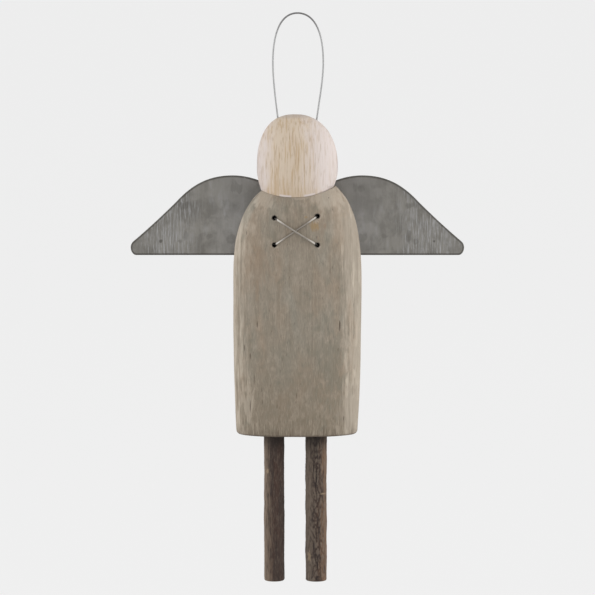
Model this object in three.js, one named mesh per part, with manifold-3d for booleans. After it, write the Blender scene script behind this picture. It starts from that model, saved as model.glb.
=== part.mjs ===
// Hanging angel ornament: a carved wooden body and head, sheet metal wings laced on with wire,
// legs of twig and a hanger of bent wire. Millimetres, +Z up, the front towards -Y and +X to the
// viewer's right. The origin is the inside of the hanger loop's top, where a hook carries the ornament.
import * as THREE from "three";
import { mergeVertices } from "three/addons/utils/BufferGeometryUtils.js";
import Module from "manifold-3d";

const wasm = await Module();
wasm.setup();

// Fits
const FIT_GAP = 0.3; // between a piece and the hole, seat or face that holds it

// Heights
const LOOP_DROP = 56.9; // hanging point to the top of the head
const HEAD_HEIGHT = 46.2; // top of the head to the middle of the neck seat
const BODY_HEIGHT = 137.1; // middle of the neck seat to the hem
const LEG_LENGTH = 85; // hem to the sole

// Neck seat: a shallow saddle scooped across the top of the body
const SEAT_RISE = 4.1; // how much higher the saddle's sides are than its middle
const SEAT_ROLL = THREE.MathUtils.degToRad(2.5); // the right side was cut a little higher
const SEAT_RINGS = 4;

// Body
const BODY_HALF_WIDTH = 36.8;
const HEM_DRAW_IN = 2; // how much narrower each side is at the hem
const NECK_HALF_WIDTH = 20.9;
const BODY_FRONT_DEPTH = 18;
const BODY_BACK_DEPTH = 20; // of the full curve, before the back is planed flat
const FLAT_BACK = 16; // the planed back, behind the middle
const NECK_FRONT_DEPTH = 15.3;
const NECK_BACK_DEPTH = 15.3;
const SHOULDER_LENGTH = 56.2; // widest level to the sides of the neck seat
const SHOULDER_POWER = 2.6; // fullness of the shoulder curve, 2 being an ellipse
const SIDE_EASE = 2.5; // how early the sides reach the full width above the hem
const SAG_EASE = 3; // how closely below the neck the shoulders take up the saddle's bend
const BODY_SECTION_POWER = 2.2; // fullness of the plan section
const HEM_ROUND = 2.2;
const HEM_STEPS = 4;
const SIDE_STEPS = 7;
const SHOULDER_STEPS = 12;

// Head
const HEAD_BASE_STEP = 0.2; // how much narrower each side of the head's base is than the neck
const HEAD_SWELL = 2.4; // how far each cheek stands out beyond the base
const HEAD_HALF_DEPTH = 17.6;
const HEAD_CROWN_HEIGHT = 30; // widest level to the top
const HEAD_CROWN_POWER = 2.35;
const HEAD_SECTION_POWER = 2;
const HEAD_LEAN = -1.5; // the crown leans a little to the left
const HEAD_CHAMFER = 1;
const CHEEK_STEPS = 5;
const CROWN_STEPS = 11;
const CROWN_END = THREE.MathUtils.degToRad(85); // where the crown's curve closes in a small flat

// Neck dowel
const DOWEL_RADIUS = 5;
const DOWEL_HALF_LENGTH = 15;

// Legs
const LEG_LEFT = { x: -13.3, radius: 6 };
const LEG_RIGHT = { x: 10.8, radius: 6.35 };
const LEG_Y = -1;
const LEG_CHAMFER = 0.8;
const TENON_RADIUS = 4.4;
const TENON_LENGTH = 16;

// Wings, in one plate thickness, drawn outwards from the middle and upwards from the straight lower edge
const WING_THICKNESS = 1;
const WING_BOTTOM_DROP = 35.7; // middle of the neck seat to the lower edge
const WING_REACH = 95.9; // middle of the body to the tip
const WING_HEIGHT = 46.2; // lower edge to the crest
const WING_CREST_OUT = 35;
const WING_WAIST_IN = 25.9; // tip to the waist, where the leading edge turns from hollow to full
const WING_WAIST_DROP = 15.5; // crest to the waist
const WING_TIP_RADIUS = 4.5;
const WING_TIP_SLOPE = THREE.MathUtils.degToRad(42); // of the leading edge where it leaves the tip
const WING_HOLLOW = 0.9; // how far the leading edge dips between the tip and the waist
const WING_SHOULDER_HANDLE = new THREE.Vector2(10, 10.9); // pull of the curve above the waist
const WING_CREST_HANDLE_OUT = 14.5;
const WING_CREST_HANDLE_IN = 10.5;
const WING_ROOT_HANDLE = new THREE.Vector2(7.2, 9); // pull of the curve down to the root
const WING_ROOT_MARGIN = 4.3; // lacing holes to the wing's inner edge
const WING_ROOT_HEIGHT = 31.8;
const WING_ROOT_CORNER = 2.5;

// Wire, used for the hanger and the lacing
const WIRE_RADIUS = 0.5;
const WIRE_SIDES = 6;

// Hanger
const HANGER_ENTRY_OUT = 11.1; // middle of the head to each end's hole
const HANGER_SPLAY = THREE.MathUtils.degToRad(6.6); // lean of the ends away from the vertical
const HANGER_END_LENGTH = 12; // of wire inside the head
const LOOP_BULGE_LEFT = 13.9;
const LOOP_BULGE_RIGHT = 14.7;
const LOOP_BULGE_DROP = 27.3; // hanging point to the widest level
const LOOP_FULLNESS = 0.64; // share of the way that the loop keeps straight before it rounds over
const HANGER_STEPS = 76;

// Lacing holes, measured sideways from the middle and down from the middle of the neck seat
const LACE_HOLE_RADIUS = 1.3;
const LACE_LEFT_X = -13;
const LACE_RIGHT_X = 11.3;
const LACE_TOP_LEFT_DROP = 11.6;
const LACE_TOP_RIGHT_DROP = 10.6;
const LACE_BOTTOM_DROP = 26.9;

// Lacing wires
const LACE_BEND = 1.1; // wire used up on each side of a bend round a hole's rim
const LACE_CROSSING_BEND = 2;
const LACE_EASE = 0.1; // extra height at the crossing, where the wire is rounded over
const TWIST_GAP = 0.4; // between the two wires of a twist
const TWIST_LENGTH = 10;
const TWIST_TURNS = 2;
const TWIST_EASE = 0.25; // share of the twist over which the turning sets in
const TWIST_START_OUT = 2.6; // holes to the start of the twist, sideways
const TWIST_LEAD = 3.4; // height over which the wires swing into the twist
const LACE_STEPS = 170;

// Facets
const BODY_SIDES = 52;
const HEAD_SIDES = 44;
const ROUND_SIDES = 28;
const HOLE_SIDES = 16;
const CURVE_STEPS = 9;

// Levels and shared places that follow from the sizes above
const headTop = -LOOP_DROP;
const headWidest = headTop - HEAD_CROWN_HEIGHT;
const headBaseHalf = NECK_HALF_WIDTH - HEAD_BASE_STEP;
const headHalf = headBaseHalf + HEAD_SWELL;
const seatMiddle = headTop - HEAD_HEIGHT;
const hemLevel = seatMiddle - BODY_HEIGHT;
const soleLevel = hemLevel - LEG_LENGTH;
const neckSide = seatMiddle + SEAT_RISE;
const bodyWidest = neckSide - SHOULDER_LENGTH;
const neckShare = Math.pow(NECK_HALF_WIDTH / BODY_HALF_WIDTH, SHOULDER_POWER);
const shoulderSpan = SHOULDER_LENGTH / Math.pow(1 - neckShare, 1 / SHOULDER_POWER);
const hemHalf = BODY_HALF_WIDTH - HEM_DRAW_IN;
const wingFront = FLAT_BACK + FIT_GAP;
const wingBack = wingFront + WING_THICKNESS;
const wingBottom = seatMiddle - WING_BOTTOM_DROP;
const wingRootOut = Math.min(-LACE_LEFT_X, LACE_RIGHT_X) - WING_ROOT_MARGIN;
const wingWaist = new THREE.Vector2(WING_REACH - WING_WAIST_IN, WING_HEIGHT - WING_WAIST_DROP);
const twistRadius = WIRE_RADIUS + TWIST_GAP / 2;

const laceHoles = {
  topLeft: new THREE.Vector2(LACE_LEFT_X, seatMiddle - LACE_TOP_LEFT_DROP),
  topRight: new THREE.Vector2(LACE_RIGHT_X, seatMiddle - LACE_TOP_RIGHT_DROP),
  bottomLeft: new THREE.Vector2(LACE_LEFT_X, seatMiddle - LACE_BOTTOM_DROP),
  bottomRight: new THREE.Vector2(LACE_RIGHT_X, seatMiddle - LACE_BOTTOM_DROP),
};

// Solids from geometry, and back

function solidOf(geometry) {
  const bare = geometry.clone();
  bare.deleteAttribute("normal");
  bare.deleteAttribute("uv");
  const merged = mergeVertices(bare);
  return new wasm.Manifold(
    new wasm.Mesh({
      numProp: 3,
      vertProperties: merged.attributes.position.array,
      triVerts: Uint32Array.from(merged.index.array),
    }),
  );
}

function geometryOf(solid) {
  const mesh = solid.getMesh();
  const geometry = new THREE.BufferGeometry();
  geometry.setAttribute("position", new THREE.BufferAttribute(mesh.vertProperties, 3));
  geometry.setIndex(new THREE.BufferAttribute(mesh.triVerts, 1));
  geometry.computeVertexNormals();
  return geometry;
}

function cut(geometry, cutters) {
  let solid = solidOf(geometry);
  for (const cutter of cutters) {
    solid = solid.subtract(solidOf(cutter));
  }
  return geometryOf(solid);
}

// A straight round bar between two points
function bar(from, to, radius, sides) {
  const along = to.clone().sub(from);
  const geometry = new THREE.CylinderGeometry(radius, radius, along.length(), sides);
  const turn = new THREE.Quaternion().setFromUnitVectors(new THREE.Vector3(0, 1, 0), along.normalize());
  geometry.applyQuaternion(turn);
  const middle = from.clone().add(to).multiplyScalar(0.5);
  return geometry.translate(middle.x, middle.y, middle.z);
}

function circlePoints(x, y, radius, sides) {
  const points = [];
  for (let i = 0; i < sides; i++) {
    const turn = (2 * Math.PI * i) / sides;
    points.push(new THREE.Vector2(x + radius * Math.cos(turn), y + radius * Math.sin(turn)));
  }
  return points;
}

// A round wire along a path
function wireAlong(path, steps) {
  const section = new THREE.Shape(circlePoints(0, 0, WIRE_RADIUS, WIRE_SIDES));
  return new THREE.ExtrudeGeometry(section, { steps, extrudePath: path, bevelEnabled: false });
}

// A carved solid: a cylinder whose rings take their widths, depths and heights from a list, lowest first
function carve(rings, sides, power) {
  const levels = rings.length - 1;
  const geometry = new THREE.CylinderGeometry(1, 1, 1, sides, levels);
  const position = geometry.attributes.position;
  const full = (value) => Math.sign(value) * Math.pow(Math.abs(value), 2 / power);
  for (let i = 0; i < position.count; i++) {
    const ring = rings[Math.round((position.getY(i) + 0.5) * levels)];
    const reach = Math.hypot(position.getX(i), position.getZ(i));
    const angle = Math.atan2(-position.getZ(i), position.getX(i));
    const across = full(Math.cos(angle));
    const along = full(Math.sin(angle));
    const x = ring.shift + reach * ring.half * across;
    const depth = along < 0 ? ring.front : ring.back;
    const y = Math.min(reach * depth * along, ring.flat);
    position.setXYZ(i, x, y, ring.height(x));
  }
  return geometry;
}

// Neck seat

function seatHeight(x) {
  const share = x / NECK_HALF_WIDTH;
  return seatMiddle + SEAT_RISE * share * share + x * Math.tan(SEAT_ROLL);
}

// Body

// Depth of the front or back where the sides have drawn in to a given half width
function drawnIn(fullDepth, neckDepth, half) {
  const share = (BODY_HALF_WIDTH - half) / (BODY_HALF_WIDTH - NECK_HALF_WIDTH);
  return fullDepth + (neckDepth - fullDepth) * share;
}

function bodyHalfWidth(level) {
  if (level > bodyWidest) {
    const share = (level - bodyWidest) / shoulderSpan;
    return BODY_HALF_WIDTH * Math.pow(1 - Math.pow(share, SHOULDER_POWER), 1 / SHOULDER_POWER);
  }
  const below = (bodyWidest - level) / (bodyWidest - hemLevel);
  return BODY_HALF_WIDTH - HEM_DRAW_IN * Math.pow(below, SIDE_EASE);
}

function bodyFrontAt(x, level) {
  const half = bodyHalfWidth(level);
  const depth = drawnIn(BODY_FRONT_DEPTH, NECK_FRONT_DEPTH, half);
  const share = Math.pow(Math.abs(x) / half, BODY_SECTION_POWER);
  return -depth * Math.pow(1 - share, 1 / BODY_SECTION_POWER);
}

// One level of the body. Inset draws it in all round, and sag bends the level down to the seat's saddle.
function bodyRing(level, half, inset, sag) {
  return {
    shift: 0,
    half: half - inset,
    front: drawnIn(BODY_FRONT_DEPTH, NECK_FRONT_DEPTH, half) - inset,
    back: drawnIn(BODY_BACK_DEPTH, NECK_BACK_DEPTH, half) - inset,
    flat: FLAT_BACK - inset,
    height: (x) => level + sag * (seatHeight(x * (NECK_HALF_WIDTH / half)) - neckSide),
  };
}

function bodyRings() {
  const rings = [];
  for (let i = 0; i < HEM_STEPS; i++) {
    const turn = ((Math.PI / 2) * i) / HEM_STEPS;
    const level = hemLevel + HEM_ROUND * (1 - Math.cos(turn));
    rings.push(bodyRing(level, hemHalf, HEM_ROUND * (1 - Math.sin(turn)), 0));
  }
  for (let i = 0; i < SIDE_STEPS; i++) {
    const level = THREE.MathUtils.lerp(hemLevel + HEM_ROUND, bodyWidest, i / SIDE_STEPS);
    rings.push(bodyRing(level, bodyHalfWidth(level), 0, 0));
  }
  const lastTurn = Math.acos(Math.sqrt(neckShare));
  for (let i = 0; i <= SHOULDER_STEPS; i++) {
    const turn = (lastTurn * i) / SHOULDER_STEPS;
    const half = BODY_HALF_WIDTH * Math.pow(Math.cos(turn), 2 / SHOULDER_POWER);
    const level = bodyWidest + shoulderSpan * Math.pow(Math.sin(turn), 2 / SHOULDER_POWER);
    const sag = Math.pow((level - bodyWidest) / SHOULDER_LENGTH, SAG_EASE);
    rings.push(bodyRing(level, half, 0, sag));
  }
  const rim = rings[rings.length - 1];
  for (let i = SEAT_RINGS - 1; i > 0; i--) {
    const share = i / SEAT_RINGS;
    rings.push({
      ...rim,
      half: rim.half * share,
      front: rim.front * share,
      back: rim.back * share,
      height: seatHeight,
    });
  }
  return rings;
}

function buildBody() {
  const cutters = [LEG_LEFT, LEG_RIGHT].map((leg) => {
    const mouth = new THREE.Vector3(leg.x, LEG_Y, hemLevel - FIT_GAP);
    const end = new THREE.Vector3(leg.x, LEG_Y, hemLevel + TENON_LENGTH + FIT_GAP);
    return bar(mouth, end, TENON_RADIUS + FIT_GAP, ROUND_SIDES);
  });
  const dowelEnd = new THREE.Vector3(0, 0, seatMiddle - DOWEL_HALF_LENGTH - FIT_GAP);
  const dowelMouth = new THREE.Vector3(0, 0, neckSide);
  cutters.push(bar(dowelEnd, dowelMouth, DOWEL_RADIUS + FIT_GAP, ROUND_SIDES));
  for (const hole of Object.values(laceHoles)) {
    const front = new THREE.Vector3(hole.x, -BODY_FRONT_DEPTH - FIT_GAP, hole.y);
    const back = new THREE.Vector3(hole.x, FLAT_BACK + FIT_GAP, hole.y);
    cutters.push(bar(front, back, LACE_HOLE_RADIUS, HOLE_SIDES));
  }
  return cut(carve(bodyRings(), BODY_SIDES, BODY_SECTION_POWER), cutters);
}

// Head

function headRing(half, shift, height) {
  const depth = (half * HEAD_HALF_DEPTH) / headHalf;
  return { shift, half, front: depth, back: depth, flat: HEAD_HALF_DEPTH, height };
}

function headRings() {
  const rings = [];
  const flatHalf = headBaseHalf - HEAD_CHAMFER;
  for (let i = 1; i <= SEAT_RINGS; i++) {
    rings.push(headRing((flatHalf * i) / SEAT_RINGS, 0, (x) => seatHeight(x) + FIT_GAP));
  }
  const baseLift = FIT_GAP + HEAD_CHAMFER;
  const baseSide = neckSide + baseLift;
  const cheekSpan = headWidest - baseSide;
  const lastTurn = Math.acos(headBaseHalf / headHalf);
  for (let i = CHEEK_STEPS; i > 0; i--) {
    const turn = (lastTurn * i) / CHEEK_STEPS;
    const half = headHalf * Math.cos(turn);
    const below = Math.sin(turn) / Math.sin(lastTurn);
    const level = headWidest - cheekSpan * below;
    const sag = below * below;
    rings.push(headRing(half, 0, (x) => level + sag * (seatHeight(x) - neckSide)));
  }
  for (let i = 0; i <= CROWN_STEPS; i++) {
    const turn = (CROWN_END * i) / CROWN_STEPS;
    const half = headHalf * Math.pow(Math.cos(turn), 2 / HEAD_CROWN_POWER);
    const above = Math.pow(Math.sin(turn), 2 / HEAD_CROWN_POWER);
    const level = headWidest + HEAD_CROWN_HEIGHT * above;
    rings.push(headRing(half, HEAD_LEAN * above * above, () => level));
  }
  return rings;
}

function buildHead() {
  const dowelMouth = new THREE.Vector3(0, 0, seatMiddle - FIT_GAP);
  const dowelEnd = new THREE.Vector3(0, 0, seatMiddle + DOWEL_HALF_LENGTH + FIT_GAP);
  const cutters = [bar(dowelMouth, dowelEnd, DOWEL_RADIUS + FIT_GAP, ROUND_SIDES)];
  for (const side of [-1, 1]) {
    const entry = hangerEntry(side);
    const up = hangerDirection(side);
    const end = entry.clone().addScaledVector(up, -HANGER_END_LENGTH - FIT_GAP);
    const mouth = entry.clone().addScaledVector(up, HANGER_END_LENGTH);
    cutters.push(bar(end, mouth, WIRE_RADIUS + FIT_GAP, HOLE_SIDES));
  }
  return cut(carve(headRings(), HEAD_SIDES, HEAD_SECTION_POWER), cutters);
}

// Neck dowel

function buildDowel() {
  const bottom = new THREE.Vector3(0, 0, seatMiddle - DOWEL_HALF_LENGTH);
  const top = new THREE.Vector3(0, 0, seatMiddle + DOWEL_HALF_LENGTH);
  return bar(bottom, top, DOWEL_RADIUS, ROUND_SIDES);
}

// Legs: a twig with a whittled tenon that plugs into the hem

function buildLeg(leg) {
  const shoulder = hemLevel - FIT_GAP;
  const profile = [
    new THREE.Vector2(0, soleLevel),
    new THREE.Vector2(leg.radius - LEG_CHAMFER, soleLevel),
    new THREE.Vector2(leg.radius, soleLevel + LEG_CHAMFER),
    new THREE.Vector2(leg.radius, shoulder),
    new THREE.Vector2(TENON_RADIUS, shoulder),
    new THREE.Vector2(TENON_RADIUS, hemLevel + TENON_LENGTH),
    new THREE.Vector2(0, hemLevel + TENON_LENGTH),
  ];
  const geometry = new THREE.LatheGeometry(profile, ROUND_SIDES);
  geometry.rotateX(Math.PI / 2);
  return geometry.translate(leg.x, LEG_Y, 0);
}

// Wings

function wingOutline(side) {
  const outline = new THREE.Shape();
  const tipMiddle = WING_REACH - WING_TIP_RADIUS;
  const tipTurn = Math.PI / 2 - WING_TIP_SLOPE;
  const leave = new THREE.Vector2(
    tipMiddle + WING_TIP_RADIUS * Math.cos(tipTurn),
    WING_TIP_RADIUS + WING_TIP_RADIUS * Math.sin(tipTurn),
  );
  const hollow = leave.clone().add(wingWaist).multiplyScalar(0.5);
  const corner = WING_ROOT_CORNER;
  outline.moveTo(wingRootOut + corner, 0);
  outline.lineTo(tipMiddle, 0);
  outline.absarc(tipMiddle, WING_TIP_RADIUS, WING_TIP_RADIUS, -Math.PI / 2, tipTurn);
  outline.quadraticCurveTo(hollow.x, hollow.y - WING_HOLLOW, wingWaist.x, wingWaist.y);
  outline.bezierCurveTo(
    wingWaist.x - WING_SHOULDER_HANDLE.x,
    wingWaist.y + WING_SHOULDER_HANDLE.y,
    WING_CREST_OUT + WING_CREST_HANDLE_OUT,
    WING_HEIGHT,
    WING_CREST_OUT,
    WING_HEIGHT,
  );
  outline.bezierCurveTo(
    WING_CREST_OUT - WING_CREST_HANDLE_IN,
    WING_HEIGHT,
    wingRootOut + WING_ROOT_HANDLE.x,
    WING_ROOT_HEIGHT + WING_ROOT_HANDLE.y,
    wingRootOut,
    WING_ROOT_HEIGHT,
  );
  outline.lineTo(wingRootOut, corner);
  outline.quadraticCurveTo(wingRootOut, 0, wingRootOut + corner, 0);
  const points = outline.getPoints(CURVE_STEPS);
  return points.map((point) => new THREE.Vector2(side * point.x, point.y));
}

function buildWing(side, holes) {
  const plate = new THREE.Shape(wingOutline(side));
  for (const hole of holes) {
    const rim = circlePoints(hole.x, hole.y - wingBottom, LACE_HOLE_RADIUS, HOLE_SIDES);
    plate.holes.push(new THREE.Path(rim));
  }
  const geometry = new THREE.ExtrudeGeometry(plate, { depth: WING_THICKNESS, bevelEnabled: false });
  geometry.rotateX(Math.PI / 2);
  return geometry.translate(0, wingBack, wingBottom);
}

// Hanger: one wire with both ends glued into the crown

// Height of the crown's surface over the line of the hanger's holes
function crownLevel(x) {
  const share = Math.pow(Math.abs(x) / headHalf, HEAD_CROWN_POWER);
  return headWidest + HEAD_CROWN_HEIGHT * Math.pow(1 - share, 1 / HEAD_CROWN_POWER);
}

function hangerEntry(side) {
  return new THREE.Vector3(side * HANGER_ENTRY_OUT, 0, crownLevel(HANGER_ENTRY_OUT));
}

function hangerDirection(side) {
  return new THREE.Vector3(side * Math.sin(HANGER_SPLAY), 0, Math.cos(HANGER_SPLAY));
}

// The curves of one half, from the end in the head up to the loop's top
function hangerHalf(side, bulge) {
  const entry = hangerEntry(side);
  const up = hangerDirection(side);
  const end = entry.clone().addScaledVector(up, -HANGER_END_LENGTH);
  const wide = new THREE.Vector3(side * bulge, 0, -LOOP_BULGE_DROP);
  const top = new THREE.Vector3(0, 0, WIRE_RADIUS);
  const lowerHandle = (wide.z - entry.z) / 3;
  const upperHandle = LOOP_FULLNESS * (top.z - wide.z);
  return [
    [end, entry],
    [
      entry,
      entry.clone().addScaledVector(up, lowerHandle),
      wide.clone().setZ(wide.z - lowerHandle),
      wide,
    ],
    [
      wide,
      wide.clone().setZ(wide.z + upperHandle),
      top.clone().setX(side * LOOP_FULLNESS * bulge),
      top,
    ],
  ];
}

function curveThrough(points) {
  if (points.length === 2) {
    return new THREE.LineCurve3(...points);
  }
  return new THREE.CubicBezierCurve3(...points);
}

function buildHanger() {
  const rising = hangerHalf(-1, LOOP_BULGE_LEFT);
  const falling = hangerHalf(1, LOOP_BULGE_RIGHT)
    .reverse()
    .map((points) => points.slice().reverse());
  const path = new THREE.CurvePath();
  for (const points of [...rising, ...falling]) {
    path.add(curveThrough(points));
  }
  return wireAlong(path, HANGER_STEPS);
}

// Lacing: two wires cross on the front, pass through the body and the wings, and are twisted together behind

// Turns made at a share of the twist's length: slowly at first, so that the wires enter it side by side
function turnsAt(share) {
  const early = share < TWIST_EASE ? (share * share) / (2 * TWIST_EASE) : share - TWIST_EASE / 2;
  return (TWIST_TURNS * early) / (1 - TWIST_EASE / 2);
}

// One wire of a twisted pair. It turns about an axis along X, outwards from the start.
class TwistedEnd extends THREE.Curve {
  constructor(start, side, phase) {
    super();
    this.start = start;
    this.side = side;
    this.phase = phase;
  }

  getPoint(t) {
    const turn = this.phase + this.side * turnsAt(t) * 2 * Math.PI;
    return new THREE.Vector3(
      this.start.x + this.side * t * TWIST_LENGTH,
      this.start.y + twistRadius * Math.sin(turn),
      this.start.z + twistRadius * Math.cos(turn),
    );
  }
}

class Backwards extends THREE.Curve {
  constructor(curve) {
    super();
    this.curve = curve;
  }

  getPoint(t) {
    return this.curve.getPoint(1 - t);
  }
}

// Straight runs between corner points, each corner rounded over its own length of wire
function roundedRun(corners) {
  const curves = [];
  let last = corners[0].point;
  for (let i = 1; i < corners.length - 1; i++) {
    const { point, round } = corners[i];
    const into = point.clone().sub(corners[i - 1].point).normalize();
    const out = corners[i + 1].point.clone().sub(point).normalize();
    const before = point.clone().addScaledVector(into, -round);
    const after = point.clone().addScaledVector(out, round);
    curves.push(new THREE.LineCurve3(last, before));
    curves.push(new THREE.QuadraticBezierCurve3(before, point, after));
    last = after;
  }
  curves.push(new THREE.LineCurve3(last, corners[corners.length - 1].point));
  return curves;
}

// The wire's way from a hole's back to the end of the twist. The partner is the other hole of the same wing.
function tailCurves(inHole, hole, partner, side) {
  const lay = wingBack + FIT_GAP + WIRE_RADIUS;
  const middle = (hole.y + partner.y) / 2;
  const upper = hole.y > partner.y;
  const rise = upper ? 1 : -1;
  const start = new THREE.Vector3(hole.x + side * TWIST_START_OUT, lay + twistRadius, middle);
  const twist = new TwistedEnd(start, side, upper ? 0 : Math.PI);
  const strandEnd = new THREE.Vector3(inHole.x, lay, middle + rise * TWIST_LEAD);
  const pull = TWIST_LEAD / 2;
  const swing = new THREE.CubicBezierCurve3(
    strandEnd,
    strandEnd.clone().setZ(strandEnd.z - rise * pull),
    twist.getPoint(0).addScaledVector(twist.getTangent(0), -pull),
    twist.getPoint(0),
  );
  return { strandEnd, lay, curves: [swing, twist] };
}

// Where the wire lies in a hole: against the rim nearest the wire's other hole
function wireInHole(hole, other) {
  const towards = other.clone().sub(hole).normalize();
  return hole.clone().addScaledVector(towards, LACE_HOLE_RADIUS - WIRE_RADIUS - FIT_GAP);
}

function lacingPath(from, fromPartner, to, toPartner, crossingLift) {
  const start = wireInHole(from, to);
  const end = wireInHole(to, from);
  const crossing = from.clone().add(to).multiplyScalar(0.5);
  const lift = FIT_GAP + WIRE_RADIUS;
  const over = (place, extra) =>
    new THREE.Vector3(place.x, bodyFrontAt(place.x, place.y) - lift - extra, place.y);
  const startTail = tailCurves(start, from, fromPartner, Math.sign(from.x));
  const endTail = tailCurves(end, to, toPartner, Math.sign(to.x));
  const corners = [
    { point: startTail.strandEnd },
    { point: new THREE.Vector3(start.x, startTail.lay, start.y), round: LACE_BEND },
    { point: over(start, 0), round: LACE_BEND },
    { point: over(crossing, crossingLift), round: LACE_CROSSING_BEND },
    { point: over(end, 0), round: LACE_BEND },
    { point: new THREE.Vector3(end.x, endTail.lay, end.y), round: LACE_BEND },
    { point: endTail.strandEnd },
  ];
  const path = new THREE.CurvePath();
  for (const curve of startTail.curves.slice().reverse()) {
    path.add(new Backwards(curve));
  }
  for (const curve of [...roundedRun(corners), ...endTail.curves]) {
    path.add(curve);
  }
  return path;
}

function buildLacing() {
  const { topLeft, topRight, bottomLeft, bottomRight } = laceHoles;
  const overLift = 2 * WIRE_RADIUS + FIT_GAP + 2 * LACE_EASE;
  const over = lacingPath(topLeft, bottomLeft, bottomRight, topRight, overLift);
  const under = lacingPath(bottomLeft, topLeft, topRight, bottomRight, LACE_EASE);
  return { over: wireAlong(over, LACE_STEPS), under: wireAlong(under, LACE_STEPS) };
}

// Finishes

function finish(color, roughness, metalness) {
  return new THREE.MeshStandardMaterial({ color, roughness, metalness });
}

const finishes = {
  limedWood: finish(0xd0bfad, 0.75, 0),
  taupeWash: finish(0x8f8373, 0.8, 0),
  rawWood: finish(0xc9a877, 0.8, 0),
  agedZinc: finish(0x797773, 0.55, 0.8),
  bark: finish(0x54453c, 0.95, 0),
  wire: finish(0xa8a39d, 0.35, 1),
};

// Assembly

const angel = new THREE.Group();

function place(name, geometry, material) {
  const mesh = new THREE.Mesh(geometry, material.clone());
  mesh.name = name;
  angel.add(mesh);
}

const lacing = buildLacing();
place("body", buildBody(), finishes.taupeWash);
place("head", buildHead(), finishes.limedWood);
place("neck_dowel", buildDowel(), finishes.rawWood);
place("left_wing", buildWing(-1, [laceHoles.topLeft, laceHoles.bottomLeft]), finishes.agedZinc);
place("right_wing", buildWing(1, [laceHoles.topRight, laceHoles.bottomRight]), finishes.agedZinc);
place("left_leg", buildLeg(LEG_LEFT), finishes.bark);
place("right_leg", buildLeg(LEG_RIGHT), finishes.bark);
place("hanger_wire", buildHanger(), finishes.wire);
place("lacing_wire_over", lacing.over, finishes.wire);
place("lacing_wire_under", lacing.under, finishes.wire);

export default angel;
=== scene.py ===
"""Looks of a hanging angel ornament: carved wood, laced sheet metal wings, twig legs and a wire loop."""

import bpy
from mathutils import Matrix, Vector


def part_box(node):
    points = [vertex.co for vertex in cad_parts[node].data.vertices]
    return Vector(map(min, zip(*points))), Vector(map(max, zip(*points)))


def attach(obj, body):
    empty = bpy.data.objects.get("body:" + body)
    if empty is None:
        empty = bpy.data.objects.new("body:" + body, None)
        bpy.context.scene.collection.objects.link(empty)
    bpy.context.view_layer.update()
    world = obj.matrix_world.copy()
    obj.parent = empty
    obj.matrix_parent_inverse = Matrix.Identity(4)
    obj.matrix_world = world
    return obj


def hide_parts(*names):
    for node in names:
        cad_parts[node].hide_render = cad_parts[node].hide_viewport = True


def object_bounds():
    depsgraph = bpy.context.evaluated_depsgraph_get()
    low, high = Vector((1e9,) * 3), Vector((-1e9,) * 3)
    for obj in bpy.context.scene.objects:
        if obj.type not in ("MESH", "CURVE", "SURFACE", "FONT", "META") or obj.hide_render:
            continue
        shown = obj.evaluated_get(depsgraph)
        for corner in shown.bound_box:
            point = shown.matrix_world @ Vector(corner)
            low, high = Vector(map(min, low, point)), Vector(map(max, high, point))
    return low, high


bl_info = {
    "name": "Hanging Angel Ornament",
    "version": (1, 0, 0),
    "blender": (4, 5, 0),
    "location": "View3D > Sidebar > Angel",
    "description": "Models the ornament's pieces around its packed frame and sets the stage",
    "category": "Object",
}

import math
from contextlib import contextmanager

import bmesh
import bpy
import numpy as np
from mathutils import Vector, kdtree

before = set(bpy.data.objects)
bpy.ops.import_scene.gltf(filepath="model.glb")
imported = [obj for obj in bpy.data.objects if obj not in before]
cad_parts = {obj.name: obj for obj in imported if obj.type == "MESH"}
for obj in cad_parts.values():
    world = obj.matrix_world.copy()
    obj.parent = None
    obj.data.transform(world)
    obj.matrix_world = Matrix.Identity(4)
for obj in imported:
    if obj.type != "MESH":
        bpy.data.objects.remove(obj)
cad_low, cad_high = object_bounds()

MM = 0.001
TINY = 0.01 * MM
BODY = "root"

# Places that the frame gives
body_low, body_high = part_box("body")
head_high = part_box("head")[1]
wing_low, wing_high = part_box("right_wing")
dowel_low, dowel_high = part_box("neck_dowel")

# How fine the meshes are
BODY_SIDES = 112
BODY_RINGS = 16
SHOULDER_RINGS = 24
HEAD_SIDES = 96
CHEEK_RINGS = 10
CROWN_RINGS = 24
TWIG_SIDES = 48
TWIG_CUTS = 70
HOLE_SIDES = 40
CURVE_STEPS = 20
ROUNDING_LEVELS = 2

# The saddle: how far from it the wood stays smooth, and the rings that close it as shares of its width
SEAT_FADE = 4 * MM
SEAT_SHARES = (0.998, 0.94, 0.8, 0.6, 0.4, 0.2)

# Body and head: how the hem draws in, where the shoulders lean, the neck's edge and the crown's last ring
HEM_POWER = 2.5
LEAN_START = 0.45
LEAN_SPAN = 0.4
NECK_EDGE = 0.05 * MM
CROWN_TURN = math.radians(86)

# Drilling: how far a drill runs clear of a flat or a curved face, and the worn mouths of the lacing holes
CLEAR = 2 * MM
WELL_CLEAR = 8 * MM
MOUTH_GROWTH = 1.22
MOUTH_DEPTH = 0.15 * MM

# Relief of the wood's checks and of the bark's cracks that counts as full depth
CHECK_DEPTH = 0.22 * MM
BARK_DEPTH = 0.3 * MM

# Outline of a wing in millimetres: round corners, waist, hollow, crest and inner corner, and the tip's slope
TIP_ROUND = 4.5
HEEL_ROUND = 3.2
ROOT_ROUND = 2.5
WAIST_IN = 26.2
WAIST_DROP = 15.6
HOLLOW = 0.9
CREST_OUT = 37
CREST_DROP = 0.3
INNER_HEIGHT = 31.8
TIP_SLOPE = math.radians(42)

# A quarter circle's handle as a share of its radius, and the share of that handle for the tip's shorter arc
QUARTER_HANDLE = 0.5523
TIP_ARC = 0.52

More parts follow.
